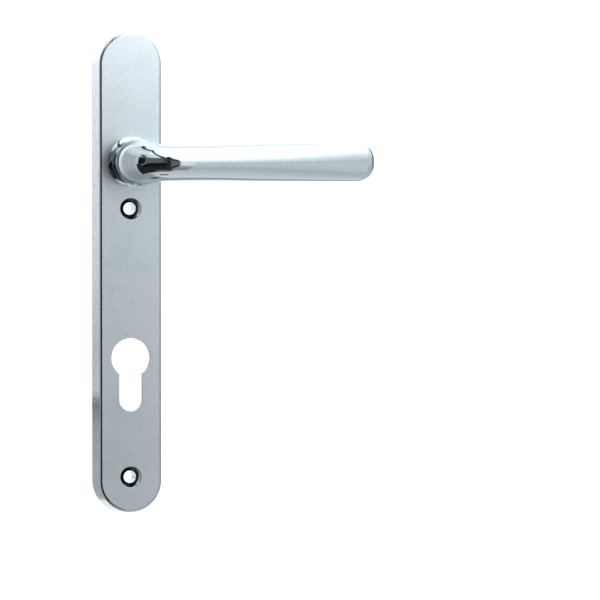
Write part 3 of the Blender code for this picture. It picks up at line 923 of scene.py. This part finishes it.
def makeCollar():
    low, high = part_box("collar_ring")
    outer = (high.x - low.x) / 2
    front = -low.y
    sleeveEnd = -high.y
    seat = plate["depth"] + 0.0003
    dome = collar["dome"]
    inner, rim = collar["tilt"]
    face = arc(outer - dome * sin(radians(rim)), front - dome * cos(radians(inner)), dome,
               90 - inner, 90 - rim, 14)
    profile = softened(face[-2:] + [(outer, seat), (collar["sleeve"], seat),
                                    (collar["sleeve"], sleeveEnd),
                                    (collar["bore"], sleeveEnd), (collar["bore"], front)]
                       + face[:-2], collar["edge"], 3)
    piece = objectFrom("collarRing", turned(profile, 144), collarChrome)
    shade(piece)
    fit(piece, "plate_assembly", "collar_polished_chrome", "collar_ring")


makeCollar()

lever = {
    "shank": 0.0075,
    "shankEnd": 0.00015,
    "groove": (0.0005, 0.00125, 0.0067),   # back, front and radius of the clip's groove
    "shoulder": 0.0170,
    "neckBase": 0.0093,
    "neckWide": 0.0190,
    "neckHigh": 0.0211,
    "barHigh": (0.0162, 0.0173),           # where it starts and at its tip
    "barThick": (0.0145, 0.0084),
    "reach": 0.1060,
    "standoff": 0.0432,
    "sweep": 0.0011,                       # rise of the centre line past the elbow
    "waist": 0.0004,
    "power": 2.15,                         # of the bar's section where it starts
    "flatter": 1.6,                        # what the power gains by the tip
    "elbow": 0.0120,
    "tip": 0.0090,
    "sides": 128,
    "socket": 0.0084,
    "socketDeep": 0.0343,
    "flat": 0.0063,
    "flatDeep": 0.0056,
    "grubHole": 0.00275,
    "grubOut": 0.0300,
}


def mix(a, b, t):
    return a + (b - a) * t


def ease(t):
    return t * t * (3 - 2 * t)


def leverSection(centre, along, halfThick, halfHigh, power):
    side = (-along[1], along[0])
    ring = []
    for i in range(lever["sides"]):
        a = 2 * pi * i / lever["sides"]
        across = abs(cos(a)) ** (2 / power) * (1 if cos(a) >= 0 else -1) * halfThick
        up = abs(sin(a)) ** (2 / power) * (1 if sin(a) >= 0 else -1) * halfHigh
        ring.append(spot(centre[0] + side[0] * across, up, centre[1] + side[1] * across))
    return ring


# The elbow stops turning where the bar's own gentle slope takes over.
def elbowTurn():
    return pi / 2 - atan(6 * lever["sweep"] / (lever["reach"] - lever["elbow"]))


def barStart():
    return lever["elbow"] * (1 - cos(elbowTurn()))


def barSection(x, scale=1.0):
    run = lever["reach"] - barStart()
    t = (x - barStart()) / run
    out = lever["standoff"] + lever["sweep"] * (1 - (1 - t) ** 6)
    slope = 6 * lever["sweep"] / run * (1 - t) ** 5
    length = sqrt(1 + slope * slope)
    waist = lever["waist"] * sin(pi * min(1, t * 2.5))
    thick = mix(*lever["barThick"], ease(t))
    high = mix(*lever["barHigh"], ease(t)) - waist
    return leverSection((x, out), (1 / length, slope / length), thick / 2 * scale,
                        high / 2 * scale, lever["power"] + lever["flatter"] * t ** 4)


def leverRings():
    shank = lever["shank"]
    back, front, root = lever["groove"]
    shoulder = lever["shoulder"]
    base = lever["neckBase"]
    lip = 0.0004
    profile = softened([
        (shank - 0.0012, lever["shankEnd"]), (shank, lever["shankEnd"]), (shank, back),
        (root, back), (root, front), (shank, front), (shank, shoulder)], 0.00012, 2, False)
    profile += [(shank + (base - lip - shank) * i / 3, shoulder) for i in range(1, 4)]
    profile += [(base - lip * (1 - sin(a)), shoulder + lip * (1 - cos(a)))
                for a in [pi / 2 * i / 5 for i in range(1, 6)]]
    rings = [leverSection((0, out), (0, 1), radius, radius, 2) for radius, out in profile]

    elbow, turnEnd = lever["elbow"], elbowTurn()
    neckEnd = lever["standoff"] - elbow * sin(turnEnd)
    for i in range(1, 25):
        t = i / 24
        out = mix(shoulder + lip, neckEnd, t)
        rings.append(leverSection(
            (0, out), (0, 1), mix(2 * base, lever["neckWide"], ease(t)) / 2,
            mix(2 * base, lever["neckHigh"], ease(min(1, t * 1.4))) / 2, 2))
    for i in range(1, 49):
        t = i / 48
        a = t * turnEnd
        centre = (elbow * (1 - cos(a)), neckEnd + elbow * sin(a))
        rings.append(leverSection(
            centre, (sin(a), cos(a)), mix(lever["neckWide"], lever["barThick"][0], ease(t)) / 2,
            mix(lever["neckHigh"], lever["barHigh"][0], ease(t)) / 2, mix(2, lever["power"], t)))
    barEnd = lever["reach"] - lever["tip"]
    for i in range(1, 61):
        rings.append(barSection(mix(barStart(), barEnd, i / 60)))
    power = 2.2
    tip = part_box("lever")[1].x - barEnd
    for i in range(1, 20):
        a = pi / 2 * i / 20
        rings.append(barSection(barEnd + tip * sin(a) ** (2 / power), cos(a) ** (2 / power)))
    end = barSection(barEnd + tip, 0.0)
    rings.append([end[0]])
    return rings


def cutSocket(body):
    half = lever["socket"] / 2
    outline = softened([(half, half), (-half, half), (-half, -half), (half, -half)],
                       0.0005, 3)
    tool = lofted([[spot(x, y, out) for x, y in outline]
                   for out in (-0.001, lever["socketDeep"])])
    cutWith(body, objectFrom("socketTool", tool, groundSteel))


def cutFlats(body):
    for side in (-1, 1):
        outline = [(side * lever["flat"], -0.009), (side * 0.02, -0.009),
                   (side * 0.02, 0.009), (side * lever["flat"], 0.009)]
        tool = lofted([[spot(x, y, out) for x, y in outline]
                       for out in (-0.001, lever["flatDeep"])])
        cutWith(body, objectFrom("flatTool", tool, groundSteel))


def cutGrubHole(body):
    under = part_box("lever")[0].z
    rings = []
    for up, grow in ((0.0, 0.0), (under + 0.00042, 0.0), (under + 0.00022, 0.00006),
                     (under + 0.00008, 0.0002), (under - 0.001, 0.0013)):
        rings.append([(x, lever["grubOut"] + y, up) for x, y in
                      arc(0, 0, lever["grubHole"] + grow, 0, 360, 64)[:-1]])
    tool = lofted([[spot(x, up, out) for x, out, up in ring] for ring in rings])
    cutWith(body, objectFrom("grubTool", tool, polishedChrome))


def makeLever():
    body = objectFrom("leverBody", lofted(leverRings()), polishedChrome)
    body.data.materials.append(groundSteel)
    for face in body.data.polygons:
        if face.center.y > -lever["shoulder"] + 0.0002:
            face.material_index = 1
    cutSocket(body)
    cutFlats(body)
    cutGrubHole(body)
    settle(body)
    shade(body, 40, False)
    fit(body, "lever_assembly", "lever_polished_chrome", "lever")


makeLever()
print("lever made")


bush = {"gap": 0.0001, "flange": 0.0010, "flangeThick": 0.00055}


def makeRearBush(bore):
    low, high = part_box("rear_bush")
    flange = (high.x - low.x) / 2
    sleeve = flange - bush["flange"]
    front = -low.y
    step = front - bush["flangeThick"]
    piece = objectFrom("rearBush", turned(softened(
        [(flange, front), (flange, step), (sleeve, step), (sleeve, -high.y),
         (bore, -high.y), (bore, front)], 0.00012, 3)), whiteNylon)
    shade(piece)
    fit(piece, "plate_assembly", "white_nylon", "rear_bush")


def makeBushes():
    bore = lever["shank"] + bush["gap"]
    for node, name, edge in (("neck_bush", "neckBush", 0.00015),
                             ("front_thrust_washer", "frontThrustWasher", 0.0001)):
        makeRing(node, name, bore, edge, whiteNylon, "plate_assembly", "white_nylon")
    makeRearBush(bore)
    makeRing("spring_spool", "springSpool", bore, 0.00015, whiteNylon, "plate_assembly",
             "white_nylon")


makeBushes()


pins = {"radius": 0.0011, "circle": 0.01205}   # the circle round the spindle they stand on


def makePins():
    for node, name in (("anchor_pin", "anchorPin"), ("stop_pin", "stopPin")):
        low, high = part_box(node)
        radius = (high.x - low.x) / 2
        profile = softened([(0, -low.y), (radius, -low.y), (radius, -high.y),
                            (0, -high.y)], 0.00025, 3, False)
        piece = objectFrom(name, turned(profile, 48, middle(node)), groundSteel)
        shade(piece)
        fit(piece, "plate_assembly", "ground_steel", node)


makePins()

spring = {
    "wire": 0.0014,
    "mean": 0.0092,      # radius of the wire's centre line
    "pitch": 0.0015,
    "turns": 2,
    "reach": 0.0145,
    "around": 20,
    "pinGap": 0.0004,    # between an end leg and the pin that holds it
    "bend": 7.0,         # degrees of each end taken up by its bend
}


# A round wire swept along a list of points.
def sweptWire(path, radius, around):
    rings = []
    normal = Vector((0, 1, 0))
    for i, point in enumerate(path):
        ahead = path[min(i + 1, len(path) - 1)] - path[max(i - 1, 0)]
        ahead.normalize()
        normal = (normal - ahead * normal.dot(ahead)).normalized()
        other = ahead.cross(normal)
        rings.append([point + normal * (radius * cos(2 * pi * k / around))
                      + other * (radius * sin(2 * pi * k / around))
                      for k in range(around)])
    return rings


def makeSpring():
    wire = spring["wire"] / 2
    top = -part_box("return_spring")[0].y - wire
    reach = spring["reach"]
    mean = spring["mean"]
    lead = asinDegrees((pins["radius"] + spring["pinGap"] + wire) / pins["circle"])
    coil = 360 * spring["turns"] - 2 * lead
    bend = spring["bend"]
    path = [(reach, 0), ((reach + mean) / 2 + 0.0005, 0), (mean + 0.8 * 2 * wire, 0)]
    path += [(mean + 0.5 * wire + 0.00012 * (3 - i), 0.6 + 1.3 * i) for i in range(3)]
    count = 150
    path += [(mean, bend + (coil - 2 * bend) * i / count) for i in range(count + 1)]
    path += [(mean + 0.5 * wire + 0.00012 * (1 + i), coil - 3.2 + 1.3 * i) for i in range(3)]
    path += [(mean + 0.8 * 2 * wire, coil), ((reach + mean) / 2 + 0.0005, coil), (reach, coil)]
    points = []
    for radius, turn in path:
        a = radians(90 + lead + turn)
        points.append(spot(radius * cos(a), radius * sin(a),
                           top - spring["pitch"] * turn / 360))
    piece = objectFrom("returnSpring", lofted(sweptWire(points, wire, spring["around"])),
                       springSteel)
    shade(piece, 50, False)
    fit(piece, "plate_assembly", "spring_steel", "return_spring")


makeSpring()
print("bearings and spring made")


cover = {"corner": 0.0030, "edge": 0.0002, "hub": 0.00145, "screwHole": 0.0015,
         "burr": 0.00012}


def makeCover():
    low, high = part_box("spring_cover")
    corner = cover["corner"]
    x = high.x - corner
    outline = (arc(x, high.z - corner, corner, 0, 90, 14)
               + arc(-x, high.z - corner, corner, 90, 180, 14)
               + arc(-x, low.z + corner, corner, 180, 270, 14)
               + arc(x, low.z + corner, corner, 270, 360, 14))
    back, front = -high.y, -low.y
    piece = objectFrom("springCover", slab(outline, back, front, cover["edge"]),
                       zincSheet)
    burr = cover["burr"]
    holes = [(0, 0, lever["shank"] + cover["hub"], 96)]
    holes += [(across, up, cover["screwHole"], 40) for across, up in coverScrews()]
    for across, up, radius, around in holes:
        profile = [(0, front + 0.001), (radius, front + 0.001), (radius, back + burr),
                   (radius + burr, back - 0.00002), (radius + burr, back - 0.001),
                   (0, back - 0.001)]
        cutWith(piece, objectFrom("holeTool", turned(profile, around, (across, up)),
                                  zincSheet))
    settle(piece)
    shade(piece)
    fit(piece, "plate_assembly", "zinc_plated_steel", "spring_cover")


makeCover()

coverScrew = {
    "thread": 0.0012,
    "head": 0.0022,
    "headThick": 0.0012,
    "slotWide": 0.0006,
    "slotDeep": 0.0006,
    "pitch": 0.00045,
    "ridge": 0.00022,    # height of the thread
    "point": 0.0006,     # radius of the flat end
}


# A screw's thread as rings whose radius follows the turning ridge.
def threadRings(centre, radius, depth, pitch, start, end, around, turnFrom):
    rings = []
    steps = int(abs(end - start) / pitch * 10)
    for i in range(steps + 1):
        out = start + (end - start) * i / steps
        fade = min(1.0, (steps - i) / 12, i / 4)
        ring = []
        for k in range(around):
            a = 2 * pi * k / around
            phase = (out / pitch + k / around + turnFrom) % 1.0
            ridge = abs(2 * phase - 1)
            r = radius - depth * (1 - fade * ridge)
            ring.append((centre[0] + r * cos(a), centre[1] + r * sin(a), out))
        rings.append(ring)
    return rings


def makeCoverScrews():
    for i, (x, up) in enumerate(coverScrews(), 1):
        node = f"cover_screw_{i}"
        low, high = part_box(node)
        crown = -high.y
        seat = crown + coverScrew["headThick"]
        tip = -low.y
        head = coverScrew["head"]
        thread = coverScrew["thread"]
        dome = [(head * sin(a), crown + 0.0005 * (1 - cos(a)) * 1.6)
                for a in [radians(4 + 46 * k / 6) for k in range(7)]]
        rings = [[(x, up, crown)]]
        rings += [[(px, py, out) for px, py in circle(x, up, r, 40)]
                  for r, out in dome + [(head * 0.93, crown + 0.00045),
                                        (head * 0.985, crown + 0.0006),
                                        (head, crown + 0.0008), (head, seat - 0.00012),
                                        (head - 0.00012, seat), (thread, seat)]]
        rings += threadRings((x, up), thread, coverScrew["ridge"],
                             coverScrew["pitch"], seat + 0.0004, tip - 0.0003, 40, 0.2 * i)
        rings.append([(px, py, tip) for px, py in circle(x, up, coverScrew["point"], 40)])
        bm = lofted([[spot(*point) for point in ring] for ring in rings])
        finish = makeTurnedSteel(f"screwZinc{i}", screwFinish, (x, 0, up), 0.00012)
        piece = objectFrom(f"coverScrew{i}", bm, finish)
        wide = coverScrew["slotWide"] / 2
        long = head + 0.001
        outline = [(x + p, up + q)
                   for p, q in ((wide, long), (-wide, long), (-wide, -long), (wide, -long))]
        slot = lofted([[spot(px, py, out) for px, py in outline]
                       for out in (crown - 0.001, crown + coverScrew["slotDeep"])])
        cutWith(piece, objectFrom("slotTool", slot, finish))
        settle(piece)
        shade(piece)
        fit(piece, "plate_assembly", "zinc_plated_steel", node)


makeCoverScrews()


cam = {
    "notch": 0.01065,    # radius where the sector that clears the stop pin is cut out
    "stop": 50.8,        # degrees each way before the cam meets the pin
    "half": 0.0014,      # half the width of the flat that carries the finger
    "plateThick": 0.0010,
    "gap": 0.0003,
    "fingerHalf": 0.0013,
    "fingerThick": 0.0012,
    "fingerIn": 0.0002,
}


def makeCam():
    low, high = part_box("drive_cam")
    back, front = -high.y, -low.y
    camRadius = (high.x - low.x) / 2
    notch = cam["notch"]
    stop = cam["stop"] + asinDegrees(pins["radius"] / pins["circle"])
    half = cam["half"]
    lean = asinDegrees(half / camRadius)
    plateFront = back + cam["plateThick"]
    top = sqrt(high.z ** 2 - half ** 2)
    outline = arc(0, 0, camRadius, -90 + stop, 90 - lean, 48)
    outline += [(half, top), (-half, top)]
    outline += arc(0, 0, camRadius, 90 + lean, 270 - stop, 48)
    outline += arc(0, 0, notch, 270 - stop, 270 + stop, 48)
    piece = objectFrom("driveCam", slab(outline, back, plateFront, 0.00008, 2), zincSheet)
    flat = lever["flat"] + cam["gap"]
    bore = lever["shank"] + cam["gap"]
    corner = 90 - asinDegrees(flat / bore)
    hole = (arc(0, 0, bore, corner, 180 - corner, 36)
            + arc(0, 0, bore, 180 + corner, 360 - corner, 36))
    tool = lofted([[spot(x, y, out) for x, y in hole]
                   for out in (back - 0.001, plateFront + 0.001)])
    cutWith(piece, objectFrom("boreTool", tool, zincSheet))
    outer = high.z - cam["fingerIn"]
    inner = outer - cam["fingerThick"]
    wide = cam["fingerHalf"]
    finger = softened([(wide, outer), (-wide, outer), (-wide, inner), (wide, inner)],
                      0.00015, 2)
    tool = lofted([[spot(x, y, out) for x, y in finger]
                   for out in (back + 0.0005, front - 0.0001, front)])
    cutWith(piece, objectFrom("fingerTool", tool, zincSheet), "UNION")
    settle(piece)
    shade(piece)
    fit(piece, "lever_assembly", "zinc_plated_steel", "drive_cam")


makeCam()

spindle = {"side": 0.0080, "corner": 0.0004, "end": 0.0008}


def makeSpindle():
    low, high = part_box("spindle")
    half = spindle["side"] / 2
    end = spindle["end"]
    rings = []
    for inset, out in ((end, -high.y), (end * 0.12, -high.y + end), (0, -high.y + end * 1.2),
                       (0, -low.y - end * 1.2), (end * 0.12, -low.y - end),
                       (end, -low.y)):
        edge = half - inset
        square = softened([(edge, edge), (-edge, edge), (-edge, -edge), (edge, -edge)],
                          spindle["corner"], 5)
        rings.append([spot(x, y, out) for x, y in square])
    piece = objectFrom("squareSpindle", lofted(rings), zincBar)
    shade(piece, 25)
    fit(piece, "lever_assembly", "zinc_plated_steel", "spindle")


makeSpindle()


grub = {"pitch": 0.0008, "ridge": 0.00035, "acrossFlats": 0.0025, "key": 0.002}


def makeGrubScrew():
    low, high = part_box("grub_screw")
    radius = (high.x - low.x) / 2
    out = lever["grubOut"]
    rings = []
    bottom = low.z
    top = high.z
    for r, up in ((radius - 0.0006, bottom), (radius - 0.0003, bottom + 0.00015)):
        rings.append([(x, y, up) for x, y in circle(0, out, r, 64)])
    rings += threadRings((0, out), radius, grub["ridge"], grub["pitch"], bottom + 0.0004,
                         top - 0.0008, 64, 0.0)
    for r, up in ((radius - 0.0004, top - 0.0006), (radius - 0.0009, top)):
        rings.append([(x, y, up) for x, y in circle(0, out, r, 64)])
    bm = lofted([[spot(x, up, y) for x, y, up in ring] for ring in rings])
    piece = objectFrom("grubScrew", bm, blackSteel)
    flats = grub["acrossFlats"] / 2 / cos(pi / 6)
    rings = []
    for up, grow in ((bottom - 0.001, 0.0003), (bottom - 0.00001, 0.0003),
                     (bottom + 0.0003, 0.0), (bottom + grub["key"], 0.0)):
        rings.append([spot(x, up, out + y)
                      for x, y in arc(0, 0, flats + grow, 0, 360, 6)[:-1]])
    cutWith(piece, objectFrom("hexTool", lofted(rings), blackSteel))
    settle(piece)
    shade(piece, 30)
    fit(piece, "lever_assembly", "black_steel", "grub_screw")


makeGrubScrew()


clip = {"gap": 0.0002, "mouth": 24, "edge": 0.00008}   # the mouth is half its opening, in degrees


def makeRetainers():
    makeRing("retaining_washer", "retainingWasher", lever["shank"] + clip["gap"], 0.00012,
             zincSheet, "lever_assembly", "zinc_plated_steel")
    low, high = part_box("circlip")
    outer = (high.x - low.x) / 2
    inner = lever["groove"][2] + clip["gap"]
    half = clip["mouth"]
    outline = arc(0, 0, outer, -90 + half, 270 - half, 90)
    outline += arc(0, 0, inner, 270 - half, -90 + half, 90)
    piece = objectFrom("clipRing", slab(outline, -high.y, -low.y, clip["edge"], 2),
                       springSteel)
    shade(piece)
    fit(piece, "lever_assembly", "spring_steel", "circlip")


makeRetainers()
print("back pieces made")

# Camera: seen from a little left of square on, from just above the spindle.
view = {
    "azimuth": -12.1,
    "elevation": 1.13,
    "distance": 3.0,
    "lens": 395.0,
    "aimAcross": 0.0798,     # from the spindle axis to the middle of the frame
    "aimDown": 0.0633,
}


def makeCamera():
    a, e = radians(view["azimuth"]), radians(view["elevation"])
    back = Vector((sin(a) * cos(e), -cos(a) * cos(e), sin(e)))
    right = Vector((cos(a), sin(a), 0))
    up = back.cross(right)
    data = bpy.data.cameras.new("camera")
    data.lens = view["lens"]
    data.sensor_width = 36.0
    data.clip_start = 0.1
    data.clip_end = 50.0
    camera = bpy.data.objects.new("camera", data)
    collection.objects.link(camera)
    camera.location = back * view["distance"]
    aim = right * view["aimAcross"] - up * view["aimDown"]
    camera.rotation_euler = (aim - camera.location).to_track_quat("-Z", "Y").to_euler()
    bpy.context.scene.camera = camera


makeCamera()

studio = {
    "floorDrop": 0.060,
    "diffuse": 1.20,
    "right": [(-90, 0.87), (-60, 0.72), (-36, 0.63), (-12, 0.56), (-4, 0.59), (1, 0.79),
              (8, 1.04), (18, 1.25), (32, 1.5), (50, 1.9), (90, 2.1)],
    "left": [(-90, 0.44), (-60, 0.35), (-36, 0.36), (-15, 0.52), (10, 0.54), (24, 0.56),
             (32, 0.83), (46, 0.98), (62, 0.88), (76, 1.2), (90, 1.8)],
    "leftEdge": (-60, -30),
    "behind": (136, 150),
    "back": [(-90, 0.42), (-50, 0.42), (-25, 0.80), (-8, 1.10), (0, 1.22), (90, 1.30)],
}

# Dark furniture and pale gaps standing in front of the bright walls, as azimuth and
# elevation in degrees. Each one is laid over those before it.
roomShapes = [
    {"at": (-45, -8), "half": (38, 46), "soft": 3, "grey": 0.79, "weight": 0.6},
    {"at": (-32, 10), "half": (32, 15), "soft": 2, "grey": 0.14},
    {"at": (-45, 35), "half": (12, 7), "turn": -8, "soft": 3, "grey": 0.87},
    {"at": (-64, -12), "half": (10, 35), "soft": 1.5, "grey": 0.010},
    {"at": (-62, 29), "half": (9, 6), "turn": -20, "soft": 3, "grey": 0.15},
    {"at": (-36, -28), "half": (43, 20), "soft": 3, "grey": 0.023, "taper": 0.25},
    {"at": (-26, -7.5), "half": (34, 8), "turn": 3, "soft": 2, "grey": 0.009},
    {"at": (-1, -2), "half": (4.5, 33), "soft": 1, "grey": 0.028},
    {"at": (6, -2), "half": (3.4, 20), "soft": 0.5, "grey": 0.028, "taper": 0.95},
    {"at": (5.4, -2), "half": (2.0, 11), "soft": 0.8, "grey": 0.15, "taper": 0.8},
    {"at": (-25, 40), "half": (42, 4), "turn": -46, "soft": 2.5, "grey": 0.030},
    {"at": (-98, 66), "half": (50, 3.5), "soft": 1.5, "grey": 0.040},
    {"at": (-14, -40), "half": (16, 6), "soft": 3, "grey": 0.13},
    {"at": (-58, -4), "half": (8, 1.6), "turn": 25, "soft": 1.5, "grey": 0.27},
    {"at": (-6, -70), "half": (16, 4), "soft": 2, "grey": 0.030},
    {"at": (-8, 14), "half": (4, 9), "soft": 1.5, "grey": 0.065},
    {"at": (-140, -82), "half": (42, 5), "soft": 2, "grey": 0.040},
    {"at": (155, 64), "half": (14, 1.4), "soft": 1, "grey": 0.42},
    {"at": (104, 12), "half": (16, 22), "soft": 5, "grey": 0.10},
]


# A ramp of grey values against an angle or a height.
def greyRamp(tree, source, low, high, stops):
    share = place(tree, "MapRange", {"From Min": low, "From Max": high})
    join(tree, source, share.inputs["Value"])
    top = max(value for _, value in stops)
    ramp = place(tree, "ValToRGB")
    join(tree, share.outputs["Result"], ramp.inputs["Fac"])
    elements = ramp.color_ramp.elements
    while len(elements) < len(stops):
        elements.new(0.5)
    for element, (at, value) in zip(elements, stops):
        element.position = (at - low) / (high - low)
        element.color = (value / top,) * 3 + (1,)
    return arithmetic(tree, "MULTIPLY", ramp.outputs["Color"], top)


def smoothStep(tree, source, low, high):
    made = place(tree, "MapRange", {"From Min": low, "From Max": high},
                 interpolation_type="SMOOTHSTEP")
    join(tree, source, made.inputs["Value"])
    return made.outputs["Result"]


# How far one room shape covers each direction, from 0 to 1.
def shapeMask(tree, azimuth, elevation, shape):
    turn = radians(shape.get("turn", 0))
    soft = shape["soft"]
    halfWide, halfHigh = shape["half"]
    across = arithmetic(tree, "SUBTRACT", azimuth, shape["at"][0])
    rise = arithmetic(tree, "SUBTRACT", elevation, shape["at"][1])
    along = arithmetic(tree, "MULTIPLY_ADD", across, cos(turn),
                       arithmetic(tree, "MULTIPLY", rise, sin(turn)))
    over = arithmetic(tree, "MULTIPLY_ADD", across, -sin(turn),
                      arithmetic(tree, "MULTIPLY", rise, cos(turn)))
    spare = arithmetic(tree, "SUBTRACT", halfWide, arithmetic(tree, "ABSOLUTE", along))
    high = arithmetic(tree, "MULTIPLY_ADD", along,
                      -halfHigh * shape.get("taper", 0) / halfWide, halfHigh)
    room = arithmetic(tree, "SUBTRACT", high, arithmetic(tree, "ABSOLUTE", over))
    both = arithmetic(tree, "MULTIPLY", smoothStep(tree, spare, -soft, soft),
                      smoothStep(tree, room, -soft, soft))
    return arithmetic(tree, "MULTIPLY", both, shape.get("weight", 1.0))


# The room as polished metal sees it; a plain white everywhere else.
def makeRoom():
    world = bpy.data.worlds.new("studio")
    world.use_nodes = True
    tree = world.node_tree
    tree.nodes.clear()
    direction = place(tree, "SeparateXYZ")
    join(tree, place(tree, "TexCoord").outputs["Generated"], direction.inputs[0])
    rise = arithmetic(tree, "ARCSINE", direction.outputs["Z"])
    elevation = arithmetic(tree, "DEGREES", rise)
    away = arithmetic(tree, "MULTIPLY", direction.outputs["Y"], -1.0)
    swing = arithmetic(tree, "ARCTAN2", direction.outputs["X"], away)
    azimuth = arithmetic(tree, "DEGREES", swing)

    def laid(below, mask, grey):
        made = place(tree, "MapRange")
        join(tree, mask, made.inputs["Value"])
        for socket, value in (("To Min", below), ("To Max", grey)):
            if isinstance(value, (int, float)):
                made.inputs[socket].default_value = value
            else:
                join(tree, value, made.inputs[socket])
        return made.outputs["Result"]

    left = greyRamp(tree, elevation, -90, 90, studio["left"])
    right = greyRamp(tree, elevation, -90, 90, studio["right"])
    grey = laid(left, smoothStep(tree, azimuth, *studio["leftEdge"]), right)
    sideways = arithmetic(tree, "ABSOLUTE", azimuth)
    back = greyRamp(tree, elevation, -90, 90, studio["back"])
    grey = laid(grey, smoothStep(tree, sideways, *studio["behind"]), back)
    for shape in roomShapes:
        grey = laid(grey, shapeMask(tree, azimuth, elevation, shape), shape["grey"])
    glossy = place(tree, "LightPath").outputs["Is Glossy Ray"]
    surface = place(tree, "Background", {"Color": (1, 1, 1, 1)})
    join(tree, laid(studio["diffuse"], glossy, grey), surface.inputs["Strength"])
    join(tree, surface.outputs[0], place(tree, "OutputWorld").inputs["Surface"])
    bpy.context.scene.world = world


makeRoom()


# An upright sheet that only polished metal sees, graded by height.
def makeCard(name, centre, width, height, stops):
    bm = bmesh.new()
    for across, up in ((-1, -1), (1, -1), (1, 1), (-1, 1)):
        bm.verts.new(Vector(centre) + Vector((across * width / 2, 0, up * height / 2)))
    bm.faces.new(bm.verts)
    material = bpy.data.materials.new(name)
    material.use_nodes = True
    tree = material.node_tree
    tree.nodes.clear()
    where = place(tree, "SeparateXYZ")
    join(tree, place(tree, "TexCoord").outputs["Object"], where.inputs[0])
    low, high = centre[2] - height / 2, centre[2] + height / 2
    grey = greyRamp(tree, where.outputs["Z"], low, high, stops)
    glow = place(tree, "Emission")
    join(tree, grey, glow.inputs["Strength"])
    join(tree, glow.outputs[0], place(tree, "OutputMaterial").inputs["Surface"])
    card = objectFrom(name, bm, material)
    for ray in ("camera", "diffuse", "transmission", "volume_scatter", "shadow"):
        setattr(card, "visible_" + ray, False)


makeCard("frontCard", (0.064, -0.35, -0.02), 0.024, 0.44, [
    (-0.24, 0.36), (-0.185, 0.30), (-0.14, 0.30), (-0.116, 0.36), (-0.09, 0.50),
    (-0.052, 0.85), (-0.018, 1.00), (0.015, 0.98), (0.03, 1.00), (0.04, 1.15),
    (0.05, 1.8), (0.06, 3.0), (0.07, 4.0), (0.20, 4.0)])
makeCard("leverCard", (0.263, -0.35, -0.02), 0.374, 0.44, [
    (-0.24, 0.62), (-0.16, 0.58), (-0.12, 0.60), (-0.09, 0.66), (-0.05, 0.70),
    (-0.006, 0.74), (-0.003, 0.64), (0.0, 0.80), (0.03, 1.06), (0.05, 1.25),
    (0.10, 1.60), (0.20, 2.2)])
makeCard("sideCard", (-0.118, 0.22, -0.07), 0.14, 0.40, [
    (-0.27, 0.42), (-0.155, 0.42), (-0.137, 0.37), (-0.128, 0.26), (-0.1232, 0.19),
    (-0.1205, 0.165), (-0.1200, 0.60), (-0.10, 0.53), (-0.078, 0.61), (-0.055, 0.71),
    (-0.01, 0.80), (0.03, 0.92), (0.06, 1.12), (0.13, 1.25)])


def makeFloor():
    bm = bmesh.new()
    level = cadBox[0].z - studio["floorDrop"]
    for x, y in ((-9, -4), (9, -4), (9, 30), (-9, 30)):
        bm.verts.new((x, y, level))
    bm.faces.new(bm.verts)
    material, tree, shader = newFinish("paleFloor")
    grain = useGroup(tree, fineGrain, {"Size": 0.002, "Drift": 0.2})
    tone = blendColour(tree, grain.outputs["Mask"], (0.90, 0.90, 0.90), (0.93, 0.93, 0.93))
    join(tree, tone, shader.inputs["Base Color"])
    shader.inputs["Roughness"].default_value = 0.9
    floor = objectFrom("floor", bm, material)
    floor.visible_glossy = False


makeFloor()


def makeLamp(name, position, aim, size, power):
    data = bpy.data.lights.new(name, "AREA")
    data.size = size
    data.energy = power
    lamp = bpy.data.objects.new(name, data)
    collection.objects.link(lamp)
    lamp.location = position
    lamp.rotation_euler = (Vector(aim) - lamp.location).to_track_quat("-Z", "Y").to_euler()
    lamp.visible_camera = False
    lamp.visible_glossy = False


makeLamp("overheadLamp", (0.3, -0.9, 1.6), (0.03, 0, -0.05), 1.2, 8)
print("studio made")

bpy.context.scene.view_settings.view_transform = "Standard"
